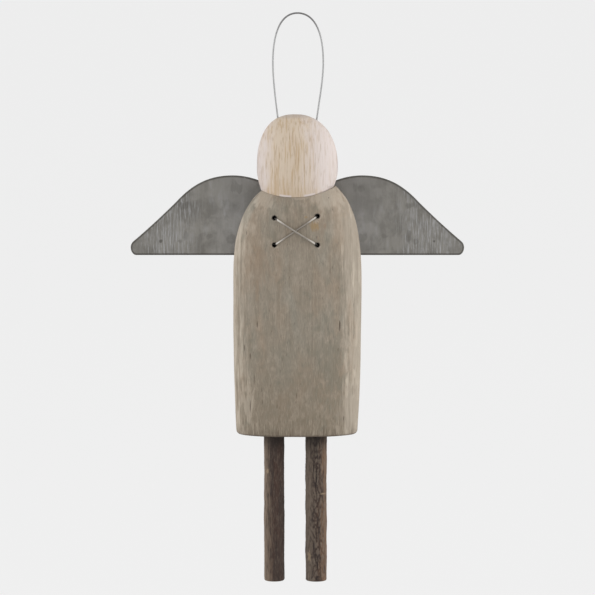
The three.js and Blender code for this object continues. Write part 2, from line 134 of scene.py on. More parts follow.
# Turns of a wing's outline that count as flat when it is thinned and as sharp when its edges are filed
FLAT_TURN = math.radians(0.5)
SHARP_TURN = math.radians(60)

# The grid that a wing is cut into for its dents, and how squarely a flat face and an edge look forwards
GRID_STEP = 2.5 * MM
GRID_ACROSS = 35
GRID_UP = 18
FACE_ON = 0.999
EDGE_ON = 0.97

# Ends of the twigs: rings that keep their edges firm, the tenon's tapered tip, and what counts as sawn
EDGE_INSET = 0.4 * MM
TIP_INSET = 0.5 * MM
TENON_TIP = 1 * MM
TENON_TAPER = 0.85
SAWN_DEPTH = 0.3 * MM
SAWN_FACING = -0.9

# Bark: where it fades out towards the ends and the axis, and how wide its cracked front is, in radians
BARK_FADE = 1.2 * MM
BARK_START = 0.8
BARK_SPAN = 0.15
CRACKED_ASIDE = 0.3 * MM
CRACKED_TURN = 0.75
CRACKED_LEAST = 0.2

# Wire: the share of its radius that rounding off takes away, and where the lacing comes out behind its holes
ROUNDING_LOSS = 1 / 6.7
HOLES_END = 16 * MM

# Stage: the camera's sensor in millimetres, the floor's width in metres, and each softbox's place and size
SENSOR_WIDTH = 36
FLOOR_WIDTH = 400
SOFTBOXES = {
    "left_softbox": ((-4, -0.95, 1), 2.6),
    "right_softbox": ((4, -0.95, 1), 2.6),
    "front_softbox": ((0, -4, 2.6), 3.4),
}

# Cracks in the body's front: across and above the hem, half the length, all in millimetres, and the strength
CRACKS = (
    (24, 63.6, 4.2, 1),
    (-22.8, 64.6, 2.5, 0.8),
    (-30, 50.6, 2.4, 0.8),
    (-26.8, 46.3, 2, 0.8),
    (23.1, 50.1, 1.3, 0.7),
    (-0.6, 24.2, 2.6, 0.7),
    (-26.8, 17.3, 4.1, 0.8),
    (26.4, 10.4, 1.7, 0.8),
    (31.3, 26.4, 3.8, 0.5),
    (-24.4, 32.8, 3.3, 0.5),
    (-8.6, 44.5, 2.2, 0.35),
    (18.5, 94.9, 3, 0.4),
    (-28.8, 116.3, 1.3, 0.6),
    (17.7, 136.4, 0.5, 0.7),
)

# Half widths of a crack's dark line and of its opening and its depth in millimetres, and the faces that crack
CRACK_LINE = 0.33
CRACK_OPENING = 0.45
CRACK_DEPTH = 0.25
CRACK_FACING = -0.2

# Painted highlights along the head's lower edge, where it catches the light: their middles and half lengths,
# in millimetres
LIP_HIGHLIGHTS = ((-6.8, 3.3), (6.9, 3.1))

# Dark spots on each wing: outwards and above the lower edge, half width, half height in millimetres, strength
ZINC_SPOTS = (
    (78.7, 8, 1, 1, 0.7),
    (68, 8, 1.8, 1.6, 0.3),
    (64, 11, 1.6, 3.4, 0.3),
    (65.6, 28.5, 3.8, 2.6, 0.35),
    (50.4, 10.8, 2.6, 1.6, 0.22),
    (38, 9.5, 3, 3.2, 0.26),
    (35, 38.5, 3.8, 3.6, 0.28),
)

# The two legs, each lighter on the side facing its lamp and the right leg also on its other side, partly bark
# colour and partly painted light. A chip lies across and above the sole, with its half width and half height
# in millimetres.
TWIGS = (
    {
        "name": "left_twig",
        "node": "left_leg",
        "seed": 0.3,
        "cracked": 0.2,
        "lit_side": -1,
        "lit_side_colour": "bark_tan",
        "other_side_light": 0.0,
        "redness": 0.8,
        "chips": ((-3.8, 64, 0.9, 1.7),),
    },
    {
        "name": "right_twig",
        "node": "right_leg",
        "seed": 0.8,
        "cracked": 1,
        "lit_side": 1,
        "lit_side_colour": "bark_ridge",
        "other_side_light": 0.6,
        "redness": 0.35,
        "chips": ((-4, 15, 1.1, 3.4), (4, 51, 2.6, 0.5)),
    },
)


# Settings


def number(name, description, default, **kind):
    """A number that a user may change."""
    return bpy.props.FloatProperty(name=name, description=description, default=default, **kind)


def length(name, description, default):
    """A size in metres."""
    return number(name, description, default, precision=5, unit="LENGTH")


def angle(name, description, degrees):
    """An angle, written in degrees."""
    return number(name, description, math.radians(degrees), subtype="ANGLE")


def linear(level):
    """One channel of a colour as light, from its 0 to 255 value on a screen."""
    share = level / 255
    if share <= 0.04045:
        return share / 12.92
    return ((share + 0.055) / 1.055) ** 2.4


def colour(name, description, red, green, blue):
    """A colour that a user may change, written as it looks on a screen, 0 to 255."""
    return bpy.props.FloatVectorProperty(
        name=name,
        description=description,
        subtype="COLOR",
        size=4,
        min=0,
        max=1,
        default=(linear(red), linear(green), linear(blue), 1),
    )


class SeatSizes(bpy.types.PropertyGroup):
    """The saddle that the head sits in."""

    middle: length("Middle height", "Lowest level of the saddle", (dowel_low.z + dowel_high.z) / 2)
    rise: length("Rise", "How much higher the saddle's sides are than its middle", 4.1 * MM)
    half_width: length("Half width", "Middle to each side of the saddle", 20.9 * MM)
    slope: number("Slope", "Tilt of the saddle, the right side higher", math.tan(math.radians(2.5)))
    gap: length("Gap", "Round the ends that are plugged into the head and the body", 0.3 * MM)


class BodySizes(bpy.types.PropertyGroup):
    """The carved body."""

    half_width: length("Half width", "Middle to the widest side", body_high.x - 0.15 * MM)
    hem_draw_in: length("Hem draw-in", "How much narrower each side is at the hem", 2 * MM)
    hem_round: length("Hem round", "Radius of the lower edge", 2.2 * MM)
    front_share: number("Front share", "Front depth as a share of the back's full depth", 0.9)
    back_depth: length("Back depth", "Depth of the back's full curve", 20 * MM)
    neck_depth: length("Neck depth", "The same at the neck", 17 * MM)
    flat_back: length("Flat back", "How far behind the middle the back is planed", body_high.y)
    hem: length("Hem level", "Height of the lower edge", body_low.z + 0.2 * MM)
    shoulder_length: length("Shoulder length", "Widest level to the neck's sides", 56.2 * MM)
    shoulder_power: number("Shoulder fullness", "2 is an ellipse", 2.7)
    shoulder_lean: length("Shoulder lean", "How far the neck stands to the right", 0.86 * MM)
    hem_lean: length("Hem lean", "How far the hem stands to the left", 0.3 * MM)
    section_power: number("Section fullness", "2 is an ellipse", 2.2)
    wash_level: length("Wash level", "Height below which the wash gathers", -165 * MM)


class HeadSizes(bpy.types.PropertyGroup):
    """The domed head."""

    half_width: length("Half width", "Middle to each cheek", head_high.x)
    half_depth: length("Half depth", "Middle to the front", head_high.y)
    base_half_width: length("Base half width", "Middle to each side of the base", 20.7 * MM)
    widest: length("Widest level", "Height of the cheeks", head_high.z - 29.9 * MM)
    crown_height: length("Crown height", "Widest level to the top", 30 * MM)
    crown_power: number("Crown fullness", "2 is an ellipse", 2.27)
    lean: length("Lean", "How far the crown leans, less than 0 to the left", -1.5 * MM)
    chamfer: length("Chamfer", "Edge taken off the base", 0.05 * MM)
    rest_gap: length("Rest gap", "Between the head and the saddle where they nearly touch", 0.06 * MM)
    hanger_out: length("Hanger holes", "Middle to the holes of the hanging loop", 11.1 * MM)
    hanger_level: length("Hanger level", "Height where the hanging loop enters the crown", -59.3 * MM)
    hanger_splay: angle("Hanger splay", "Lean of the loop's ends", 6.6)
    hanger_depth: length("Hanger depth", "Of the holes for the loop's ends", 12.3 * MM)


class WingSizes(bpy.types.PropertyGroup):
    """The sheet metal wings, measured outwards from the middle and upwards from the lower edge."""

    root: length("Root", "Middle of the body to the inner edge", wing_low.x)
    reach: length("Reach", "Middle of the body to the tip", wing_high.x - TINY)
    lower_edge: length("Lower edge", "Height of the lower edge", wing_low.z)
    height: length("Height", "Lower edge to the crest", wing_high.z - wing_low.z)
    front: length("Front", "Front face behind the middle", wing_low.y)
    thickness: length("Thickness", "Of the sheet", wing_high.y - wing_low.y)
    edge_round: length("Edge round", "Radius of the filed edges", 0.28 * MM)
    rim_width: length("Rim width", "Of the darkened rim", 1.1 * MM)


class LegSizes(bpy.types.PropertyGroup):
    """The twig legs."""

    hem_gap: length("Gap", "Between the hem and the top of the bark", 0.3 * MM)
    tenon_radius: length("Tenon radius", "Of the whittled end in the body", 4.4 * MM)
    tenon_length: length("Tenon length", "Of the whittled end in the body", 16 * MM)
    chamfer: length("Chamfer", "Edge worn off the sole", 0.8 * MM)
    inset: length("Inset", "Room left for the bark to swell", 0.22 * MM)


class WireSizes(bpy.types.PropertyGroup):
    """The hanger and the lacing."""

    radius: length("Radius", "Of the wire", 0.5 * MM)
    # Length of the loop's top that is coloured darker
    dark_top_length: length("Handled length", "Of the loop's top that is handled dark", 16 * MM)
    hole_radius: length("Lacing hole radius", "Of the drilled holes", 1.3 * MM)
    left_x: length("Left holes", "Middle to the left holes", -13 * MM)
    right_x: length("Right holes", "Middle to the right holes", 11.3 * MM)
    upper_left: length("Upper left hole", "Drop below the saddle's middle", 11.6 * MM)
    upper_right: length("Upper right hole", "Drop below the saddle's middle", 10.6 * MM)
    lower: length("Lower holes", "Drop below the saddle's middle", 26.9 * MM)


class Finishes(bpy.types.PropertyGroup):
    """Colours of the finishes."""

    wash: colour("Wash", "Grey-brown wash on the body", 141, 131, 117)
    wash_dark: colour("Wash in the grain", "Where the wash is thick", 125, 115, 100)
    wash_warm: colour("Warm wash", "Where the wood shows through", 139, 123, 105)
    wash_cool: colour("Cool wash", "Greyest parts of the wash", 131, 126, 114)
    wash_mottle: colour("Mottle", "Dark grey-green marks in the wash", 108, 105, 92)
    wash_low: colour("Low wash", "Where the wash gathered towards the hem", 121, 109, 92)
    worn_wood: colour("Worn wood", "Rubbed back to the wood", 192, 180, 164)
    ochre_wood: colour("Ochre wood", "Scuffs by the lacing", 148, 121, 76)
    rust: colour("Rust", "Red-brown stain below the lacing", 134, 113, 92)
    # The crack colour also paints shade along the hem's lower edge.
    crack: colour("Crack", "Depth of the grain's cracks", 70, 56, 44)
    limed: colour("Limed wood", "Whitewash on the head", 205, 194, 189)
    limed_tan: colour("Tan wood", "Wood showing in the whitewash", 201, 185, 166)
    limed_streak: colour("Streak", "Yellow-brown grain of the head", 181, 156, 125)
    # Painted shade: greyer where the head's crown and cheeks turn away from the lamps
    limed_edge_shade: colour("Limed edge", "Greyer whitewash on the crown and the cheeks", 172, 162, 157)
    limed_pore: colour("Pore", "Short dark pores of the head", 158, 132, 102)
    zinc: colour("Zinc", "Weathered sheet", 137, 134, 128)
    # Pale zinc also paints light on the wings' roots, and dark zinc the shade by the neck and on the right
    # wing.
    zinc_pale: colour("Pale zinc", "Scratched towards the tips", 168, 168, 169)
    zinc_dark: colour("Dark zinc", "Smudges and spots", 110, 107, 101)
    zinc_rim: colour("Rim", "Darkened edges of the sheet", 72, 69, 63)
    bark: colour("Bark", "Main colour of the twigs", 51, 37, 31)
    # The legs' lit-side colours: partly bark, partly painted light from the side lamps.
    bark_ridge: colour("Bark ridge", "Rubbed side of the right leg", 114, 86, 63)
    bark_tan: colour("Tan bark", "Rubbed side of the left leg", 125, 108, 92)
    bark_grey: colour("Grey bark", "Weathered ridges", 110, 98, 86)
    # Bark crack also paints the shadow under the hem on the legs' tops.
    bark_crack: colour("Bark crack", "Deep cracks", 38, 32, 29)
    bark_red: colour("Red bark", "Redder patches", 58, 37, 28)
    bark_fleck: colour("Bark fleck", "Chips down to the wood", 166, 145, 117)
    raw_wood: colour("Raw wood", "Sawn and whittled ends", 196, 168, 128)
    wire: colour("Wire", "Drawn steel", 164, 164, 164)
    wire_top_dark: colour("Handled wire", "Top of the hanging loop", 108, 106, 106)
    # Painted highlight, and tarnish with painted shade, of the lacing wire
    wire_highlight: colour("Bright wire", "Lacing rubbed by its holes", 206, 201, 193)
    wire_tarnish_and_shade: colour("Tarnished wire", "Lacing where it crosses", 132, 125, 116)
    # Painted shade: inside the lacing holes and in their mouths on the body
    hole_shade: colour("Hidden wire", "Lacing inside its holes", 24, 20, 17)


class StageSettings(bpy.types.PropertyGroup):
    """Camera, lights and floor."""

    distance: length("Camera distance", "From the camera to what it looks at", 2)
    elevation: angle("Camera elevation", "Above the horizon", 6)
    target_x: length("Target across", "Where the camera looks", 0.06 * MM)
    target_z: length("Target height", "Where the camera looks", -161.63 * MM)
    focal_pixels: number("Focal length", "In pixels of the picture", 3500, subtype="PIXEL")
    picture_pixels: number("Picture width", "In pixels", 595, subtype="PIXEL")
    backdrop: colour("Backdrop", "Pale ground and background", 238, 238, 238)
    floor_drop: length("Floor drop", "Soles to the floor", 0.28)
    floor_glow: number("Floor glow", "Lifts the floor to the backdrop's brightness", 1.03)
    floor_evenness: number("Floor evenness", "Share of the glow in the floor's look", 0.92, subtype="FACTOR")
    ambient: number("Ambient light", "Strength of the even light from all round", 0.57)
    left_power: number("Left light", "Power of the left softbox", 84, unit="POWER")
    right_power: number("Right light", "Power of the right softbox", 113, unit="POWER")
    front_power: number("Front light", "Power of the front softbox", 24, unit="POWER")


SETTINGS = {
    "angel_seat": SeatSizes,
    "angel_body": BodySizes,
    "angel_head": HeadSizes,
    "angel_wings": WingSizes,
    "angel_legs": LegSizes,
    "angel_wires": WireSizes,
    "angel_finishes": Finishes,
    "angel_stage": StageSettings,
}


# Modelling steps that several pieces share


def make_active(piece):
    """Selects one piece alone."""
    bpy.ops.object.select_all(action="DESELECT")
    piece.select_set(True)
    bpy.context.view_layer.objects.active = piece


def add_piece(add, name, **values):
    """Adds a primitive while nothing else is selected, and names it."""
    bpy.ops.object.select_all(action="DESELECT")
    add(**values)
    made = bpy.context.object
    made.name = name
    return made


@contextmanager
def editing(piece, test=None, kind="VERT"):
    """Edit mode with those points, edges or faces selected that pass a test, or all without one."""
    make_active(piece)
    bpy.ops.object.mode_set(mode="EDIT")
    bpy.ops.mesh.select_mode(type=kind)
    bpy.ops.mesh.select_all(action="DESELECT" if test else "SELECT")
    if test:
        mesh = bmesh.from_edit_mesh(piece.data)
        for part in {"VERT": mesh.verts, "EDGE": mesh.edges, "FACE": mesh.faces}[kind]:
            part.select = test(part)
        mesh.select_flush_mode()
        bmesh.update_edit_mesh(piece.data)
    yield
    bpy.ops.object.mode_set(mode="OBJECT")


def extrude(step):
    bpy.ops.mesh.extrude_region_move(TRANSFORM_OT_translate={"value": step})


def inset(thickness):
    bpy.ops.mesh.inset(thickness=thickness, depth=0)


def bevel(offset, segments):
    bpy.ops.mesh.bevel(offset=offset, segments=segments, affect="EDGES")


def close_up(piece):
    """Merges doubled points and turns all faces outwards."""
    with editing(piece):
        bpy.ops.mesh.remove_doubles(threshold=0.1 * TINY)
        bpy.ops.mesh.normals_make_consistent(inside=False)


def apply_modifier(piece, kind, **values):
    """Adds a modifier, sets it and applies it."""
    make_active(piece)
    modifier = piece.modifiers.new(kind.lower(), kind)
    for name, value in values.items():
        setattr(modifier, name, value)
    bpy.ops.object.modifier_apply(modifier=modifier.name)


def round_off(piece):
    apply_modifier(piece, "SUBSURF", levels=ROUNDING_LEVELS, render_levels=ROUNDING_LEVELS)


def oval(sides, power, front_share):
    """Points of a rounded outline, one unit in half width, with a shallower front."""
    points = []
    for i in range(sides):
        turn = 2 * math.pi * i / sides
        across = math.copysign(abs(math.cos(turn)) ** (2 / power), math.cos(turn))
        along = math.copysign(abs(math.sin(turn)) ** (2 / power), math.sin(turn))
        points.append((across, along if along > 0 else along * front_share))
    return points


def loft(name, outline, rings):
    """Pulls a closed form up from a flat outline. A ring is a half width, a depth and a height."""
    circle = {"vertices": len(outline), "radius": 1, "fill_type": "NGON"}
    piece = add_piece(bpy.ops.mesh.primitive_circle_add, name, **circle)
    for vertex, (x, y) in zip(piece.data.vertices, outline):
        vertex.co = (x, y, 0)
    with editing(piece):
        half, depth, height = rings[0]
        bpy.ops.transform.resize(value=(half, depth, 1), center_override=(0, 0, 0))
        bpy.ops.transform.translate(value=(0, 0, height))
        for ring in rings[1:]:
            extrude((0, 0, ring[2] - height))
            growth = (ring[0] / half, ring[1] / depth, 1)
            half, depth, height = ring
            bpy.ops.transform.resize(value=growth, center_override=(0, 0, height))
    close_up(piece)
    return piece


def cutter(start, end, radius, mouth):
    """A round bar to bore with, flared at its end where the hole has a wider mouth."""
    along = end - start
    bar = add_piece(
        bpy.ops.mesh.primitive_cylinder_add,
        "cutter",
        vertices=HOLE_SIDES,
        radius=radius,
        depth=along.length,
        location=(start + end) / 2,
        rotation=along.to_track_quat("Z", "Y").to_euler(),
    )
    bpy.ops.object.transform_apply(location=True, rotation=True, scale=True)
    if mouth > radius:
        ahead = along.normalized()
        flare = ahead * (mouth - radius)
        with editing(bar, lambda point: (point.co - end).dot(ahead) > -TINY):
            extrude(flare)
            bpy.ops.transform.resize(value=(mouth / radius,) * 3, center_override=end + flare)
            extrude(flare)
    return bar


def drill(piece, holes):
    """Bores round holes. A hole has a start, an end, a radius and the radius of a worn mouth, or 0."""
    bars = [cutter(*hole) for hole in holes]
    make_active(bars[0])
    for bar in bars:
        bar.select_set(True)
    bpy.ops.object.join()
    joined = bpy.context.object
    apply_modifier(piece, "BOOLEAN", operation="DIFFERENCE", solver="EXACT", object=joined)
    bpy.data.objects.remove(joined)


def weigh(piece, name, weight):
    """Makes a vertex group from a weight at each place."""
    group = piece.vertex_groups.new(name=name)
    for vertex in piece.data.vertices:
        group.add([vertex.index], weight(vertex.co), "REPLACE")


def roughen(piece, only, size, stretch, depth, seed, stops=(), mid=0.5, way="NORMAL", **values):
    """Moves a vertex group, or all points, by clouds in millimetres, drawn out along the height."""
    texture = bpy.data.textures.new("clouds", "CLOUDS")
    texture.noise_scale = size * MM
    for name, value in values.items():
        setattr(texture, name, value)
    if stops:
        texture.use_color_ramp = True
        for element, (place, level) in zip(texture.color_ramp.elements, stops):
            element.position = place
            element.color = (level, level, level, 1)
    guide = add_piece(bpy.ops.object.empty_add, "guide", location=(seed, 2 * seed, 3 * seed))
    guide.scale = (1, 1, stretch)
    bpy.context.view_layer.update()
    apply_modifier(
        piece,
        "DISPLACE",
        texture=texture,
        texture_coords="OBJECT",
        texture_coords_object=guide,
        strength=depth * MM,
        mid_level=mid,
        direction=way,
        vertex_group=only,
    )
    bpy.data.objects.remove(guide)
    bpy.data.textures.remove(texture)


def places(piece):
    found = np.zeros(3 * len(piece.data.vertices))
    piece.data.vertices.foreach_get("co", found)
    return found.reshape(-1, 3)


def normals(piece):
    found = np.zeros(3 * len(piece.data.vertices))
    piece.data.vertex_normals.foreach_get("vector", found)
    return found.reshape(-1, 3)


def note(piece, name, values):
    """Stores one value at each point, for the piece's material to read."""
    attribute = piece.data.attributes.new(name, "FLOAT", "POINT")
    attribute.data.foreach_set("value", np.asarray(values, np.float32))


def note_relief(piece, before, full_depth):
    """Stores how far the surface was moved out or in from an earlier shape, 1 being the full depth."""
    moved = ((places(piece) - before) * normals(piece)).sum(axis=1)
    note(piece, "relief", moved / full_depth)


def settle(piece, node, material, smooth_degrees=40):
    """Finishes a piece: it gets its material, rides on the frame and stands for its node."""
    if not piece.data.polygons:
        raise RuntimeError(piece.name + " came out empty")
    make_active(piece)
    bpy.ops.object.transform_apply(location=True, rotation=True, scale=True)
    bpy.ops.object.shade_smooth_by_angle(angle=math.radians(smooth_degrees))
    piece.data.materials.clear()
    piece.data.materials.append(material)
    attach(piece, BODY)
    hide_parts(node)


# Shape of the seat, the body and the legs


def neck_side(seat):
    """Height of the saddle's sides."""
    return seat.middle + seat.rise


def widest_level(body, seat):
    return neck_side(seat) - body.shoulder_length


def seat_height(seat, x):
    """Height of the saddle at a place across it."""
    share = x / seat.half_width
    return seat.middle + seat.rise * share * share + x * seat.slope


def seat_fade(seat, place):
    """0 at the saddle and 1 well away from it, so that the head and the body stay smooth where they meet."""
    return min(abs(place.z - seat_height(seat, place.x)) / SEAT_FADE, 1)


def shoulder_curve(body, seat):
    """How much of the shoulders' curve the neck cuts off, and the height at which the whole would close."""
    neck_share = (seat.half_width / body.half_width) ** body.shoulder_power
    return neck_share, body.shoulder_length / (1 - neck_share) ** (1 / body.shoulder_power)


def body_half(body, seat, z):
    """Half width of the body at a height."""
    widest = widest_level(body, seat)
    power = body.shoulder_power
    if z > widest:
        span = shoulder_curve(body, seat)[1]
        return body.half_width * (1 - ((z - widest) / span) ** power) ** (1 / power)
    below = (widest - z) / (widest - body.hem)
    return body.half_width - body.hem_draw_in * below**HEM_POWER


def body_depth(body, seat, half):
    """Depth of the back's full curve where the sides have drawn in to a half width."""
    share = (body.half_width - half) / (body.half_width - seat.half_width)
    return body.back_depth + (body.neck_depth - body.back_depth) * share


def body_front(body, seat, x, z):
    """How far in front of the middle the body's face is."""
    half = body_half(body, seat, z)
    share = (abs(x) / half) ** body.section_power
    return -body.front_share * body_depth(body, seat, half) * (1 - share) ** (1 / body.section_power)


def lacing_holes(wires, seat):
    """Places of the four lacing holes, across and up."""
    upper = ((wires.left_x, wires.upper_left), (wires.right_x, wires.upper_right))
    lower = ((wires.left_x, wires.lower), (wires.right_x, wires.lower))
    return [(x, seat.middle - drop) for x, drop in upper + lower]


def dowel_hole(seat, start, end):
    """The hole for the neck dowel between two heights, ready to drill."""
    radius = (dowel_high.x - dowel_low.x) / 2 + seat.gap
    return (Vector((0, 0, start)), Vector((0, 0, end)), radius, 0)


class Leg:
    """Where a leg is: its middle, its radius under the bark, its sole and the top of its bark."""

    def __init__(self, twig, scene):
        low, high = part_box(twig["node"])
        self.middle = (low + high) / 2
        self.radius = (high.x - low.x) / 2 - scene.angel_legs.inset
        self.sole = low.z + TINY
        self.top = scene.angel_body.hem - scene.angel_legs.hem_gap

    def at(self, z):
        return Vector((self.middle.x, self.middle.y, z))


# Node trees


class Tree:
    """Short steps for building a node tree."""

    def __init__(self, graph):
        self.graph = graph

    def add(self, kind, inputs=None, **settings):
        """Adds a node and feeds its inputs with values or with other nodes' outputs."""
        made = self.graph.nodes.new(kind)
        for name, value in settings.items():
            setattr(made, name, value)
        for name, value in (inputs or {}).items():
            socket = made.inputs[name]
            if isinstance(value, bpy.types.NodeSocket):
                self.graph.links.new(value, socket)
            else:
                socket.default_value = value
        return made

    def place(self):
        return self.add("ShaderNodeTexCoord").outputs["Object"]

    def axes(self, names, place=None):
        """The named coordinates of a place, the point's own unless another is given."""
        outputs = self.add("ShaderNodeSeparateXYZ", {0: place or self.place()}).outputs
        return [outputs[name] for name in names]

    def mapped(self, vector, scale=(1, 1, 1), shift=(0, 0, 0), turn=(0, 0, 0)):
        inputs = {"Vector": vector, "Scale": scale, "Location": shift, "Rotation": turn}
        return self.add("ShaderNodeMapping", inputs).outputs["Vector"]

    def vector(self, operation, first, second):
        return self.add("ShaderNodeVectorMath", {0: first, 1: second}, operation=operation).outputs[0]

    def sized(self, vector, factor):
        return self.add("ShaderNodeVectorMath", {0: vector, "Scale": factor}, operation="SCALE").outputs[0]

    def noise(self, vector, size, detail=3, rough=0.55, distortion=0, seed=0):
        inputs = {
            "Vector": vector,
            "W": seed,
            "Scale": 1 / size,
            "Detail": detail,
            "Roughness": rough,
            "Distortion": distortion,
        }
        return self.add("ShaderNodeTexNoise", inputs, noise_dimensions="4D").outputs["Fac"]

    def fit(self, value, low, high, start=0, end=1):
        """Turns one range into another with a soft start and end."""
        inputs = {"Value": value, "From Min": low, "From Max": high, "To Min": start, "To Max": end}
        return self.add("ShaderNodeMapRange", inputs, interpolation_type="SMOOTHSTEP").outputs["Result"]

    def math(self, operation, first, second=0):
        return self.add("ShaderNodeMath", {0: first, 1: second}, operation=operation).outputs[0]

    def times(self, first, second):
        return self.math("MULTIPLY", first, second)

    def plus(self, value, other, share):
        """Adds a share of another value."""
        return self.math("ADD", value, self.times(other, share))

    def aside(self, x, half, shift=0):
        """How far a place lies to either side of the middle, as a share of a half width."""
        return self.math("DIVIDE", self.math("ABSOLUTE", self.math("ADD", x, shift)), half)

    def band(self, value, low, high, soft):
        """1 between two levels and 0 outside them, with soft edges."""
        rise = self.fit(value, low - soft, low + soft)
        fall = self.fit(value, high - soft, high + soft, 1, 0)
        return self.times(rise, fall)

    def mix(self, share, first, second):
        inputs = {0: share, 6: first, 7: second}
        return self.add("ShaderNodeMix", inputs, data_type="RGBA").outputs[2]

    def value_of(self, name):
        """A value that was stored on the piece's points."""
        return self.add("ShaderNodeAttribute", attribute_name=name).outputs["Fac"]

    def use(self, name, inputs):
        """Places a node group with its own values, and builds the group the first time."""
        group = bpy.data.node_groups.get(name) or GROUPS[name](name)
        return self.add("ShaderNodeGroup", inputs, node_tree=group).outputs

    def grain(self, width, length, depth=6, waviness=1.5, seed=0):
        """Wood grain, sized in millimetres."""
        sizes = {"Width": width, "Depth": depth, "Length": length, "Waviness": waviness}
        inputs = {name: size * MM for name, size in sizes.items()}
        return self.use("wood_grain", {**inputs, "Seed": seed})

    def smudges(self, size, seed):
        """Marks of weathered metal, sized in millimetres."""
        return self.use("smudges", {"Size": size * MM, "Seed": seed})

    def spot(self, centre, reach, ragged, grain):
        """A ragged patch, placed and sized in millimetres."""
        inputs = {
            "Centre": [part * MM for part in centre],
            "Reach": [part * MM for part in reach],
            "Ragged": ragged,
            "Grain": grain * MM,
        }
        return self.use("ragged_spot", inputs)["Mask"]


class GroupTree(Tree):
    """A new node group with number or vector inputs and number outputs."""

    def __init__(self, name, inputs, outputs):
        super().__init__(bpy.data.node_groups.new(name, "ShaderNodeTree"))
        for label, default in inputs.items():
            kind = "NodeSocketVector" if isinstance(default, tuple) else "NodeSocketFloat"
            socket = self.graph.interface.new_socket(label, in_out="INPUT", socket_type=kind)
            socket.default_value = default
        for label in outputs:
            self.graph.interface.new_socket(label, in_out="OUTPUT", socket_type="NodeSocketFloat")
        self.given = self.add("NodeGroupInput").outputs
        self.results = self.add("NodeGroupOutput").inputs

    def put_out(self, name, value, low, high, start=0, end=1):
        """Fits a value to its full range and puts it out."""
        self.graph.links.new(self.fit(value, low, high, start, end), self.results[name])


class MaterialTree(Tree):
    """A new material with a plain shader to feed."""

    def __init__(self, name, roughness, metallic=0.0):
        self.material = bpy.data.materials.new(name)
        self.material.use_nodes = True
        super().__init__(self.material.node_tree)
        self.shader = self.graph.nodes["Principled BSDF"].inputs
        self.shader["Roughness"].default_value = roughness
        self.shader["Metallic"].default_value = metallic

    def feed(self, name, value):
        self.graph.links.new(value, self.shader[name])

    def bump(self, height, strength, depth):
        """Fine unevenness, its depth in millimetres."""
        inputs = {"Height": height, "Strength": strength, "Distance": depth * MM}
        self.feed("Normal", self.add("ShaderNodeBump", inputs).outputs[0])


class FinishTree(MaterialTree):
    """A new material with a face of one colour, over which others of the finishes are laid."""

    def __init__(self, name, finishes, base, roughness, metallic=0.0):
        super().__init__(name, roughness, metallic)
        self.finishes = finishes
        self.face = getattr(finishes, base)

    def cover(self, shade, share):
        """Lays a colour over the face by a share."""
        self.face = self.mix(share, self.face, getattr(self.finishes, shade))

    def lay(self, shade, value, low, high, start=0, end=1):
        """The same, from a first to a last share as a value goes from low to high."""
        self.cover(shade, self.fit(value, low, high, start, end))

    def tint(self, shade, mask, share):
        """The same where a mask lies, up to a share."""
        self.cover(shade, self.times(mask, share))

    def finished(self):
        self.feed("Base Color", self.face)
        return self.material


def wood_grain(name):
    """Streaks, fine fibres and short pores along the height of a piece of wood."""
    inputs = {"Width": 1.2 * MM, "Depth": 6 * MM, "Length": 30 * MM, "Waviness": 1.5 * MM, "Seed": 0.0}
    tree = GroupTree(name, inputs, ("Streaks", "Fibres", "Pores"))
    given = tree.given
    place = tree.place()
    wave = tree.add("ShaderNodeTexNoise", {"Vector": place, "Scale": 45, "Detail": 1}).outputs["Color"]
    swing = tree.sized(tree.vector("SUBTRACT", wave, (0.5, 0.5, 0.5)), given["Waviness"])
    wavy = tree.vector("ADD", place, swing)
    sizes = {0: given["Width"], 1: given["Depth"], 2: given["Length"]}
    drawn = tree.vector("DIVIDE", wavy, tree.add("ShaderNodeCombineXYZ", sizes).outputs[0])
    streaks = tree.noise(drawn, size=1, detail=4, rough=0.62, seed=given["Seed"])
    fibres = tree.noise(tree.mapped(drawn, (3.2, 3.2, 2.4)), size=1, detail=2, rough=0.5, seed=given["Seed"])
    pores = tree.noise(tree.mapped(drawn, (1.7, 1.7, 2.6)), size=1, detail=1, rough=0.4, seed=given["Seed"])
    tree.put_out("Streaks", streaks, 0.3, 0.7)
    tree.put_out("Fibres", fibres, 0.3, 0.7)
    tree.put_out("Pores", pores, 0.66, 0.76)
    return tree.graph


def ragged_spot(name):
    """A ragged patch round a point."""
    inputs = {"Centre": (0.0, 0.0, 0.0), "Reach": (0.01, 0.01, 0.01), "Ragged": 0.5, "Grain": 2 * MM}
    tree = GroupTree(name, inputs, ("Mask",))
    given = tree.given
    place = tree.place()
    shares = tree.vector("DIVIDE", tree.vector("SUBTRACT", place, given["Centre"]), given["Reach"])
    away = tree.add("ShaderNodeVectorMath", {0: shares}, operation="LENGTH").outputs["Value"]
    fine = tree.math("DIVIDE", 1, given["Grain"])
    tall = tree.mapped(place, (1, 1, 0.3))
    frayed = tree.add("ShaderNodeTexNoise", {"Vector": tall, "Scale": fine, "Detail": 3}).outputs["Fac"]
    fray = tree.times(tree.math("SUBTRACT", frayed, 0.5), given["Ragged"])
    tree.put_out("Mask", tree.plus(away, fray, 4), 0.55, 1, 1, 0)
    return tree.graph


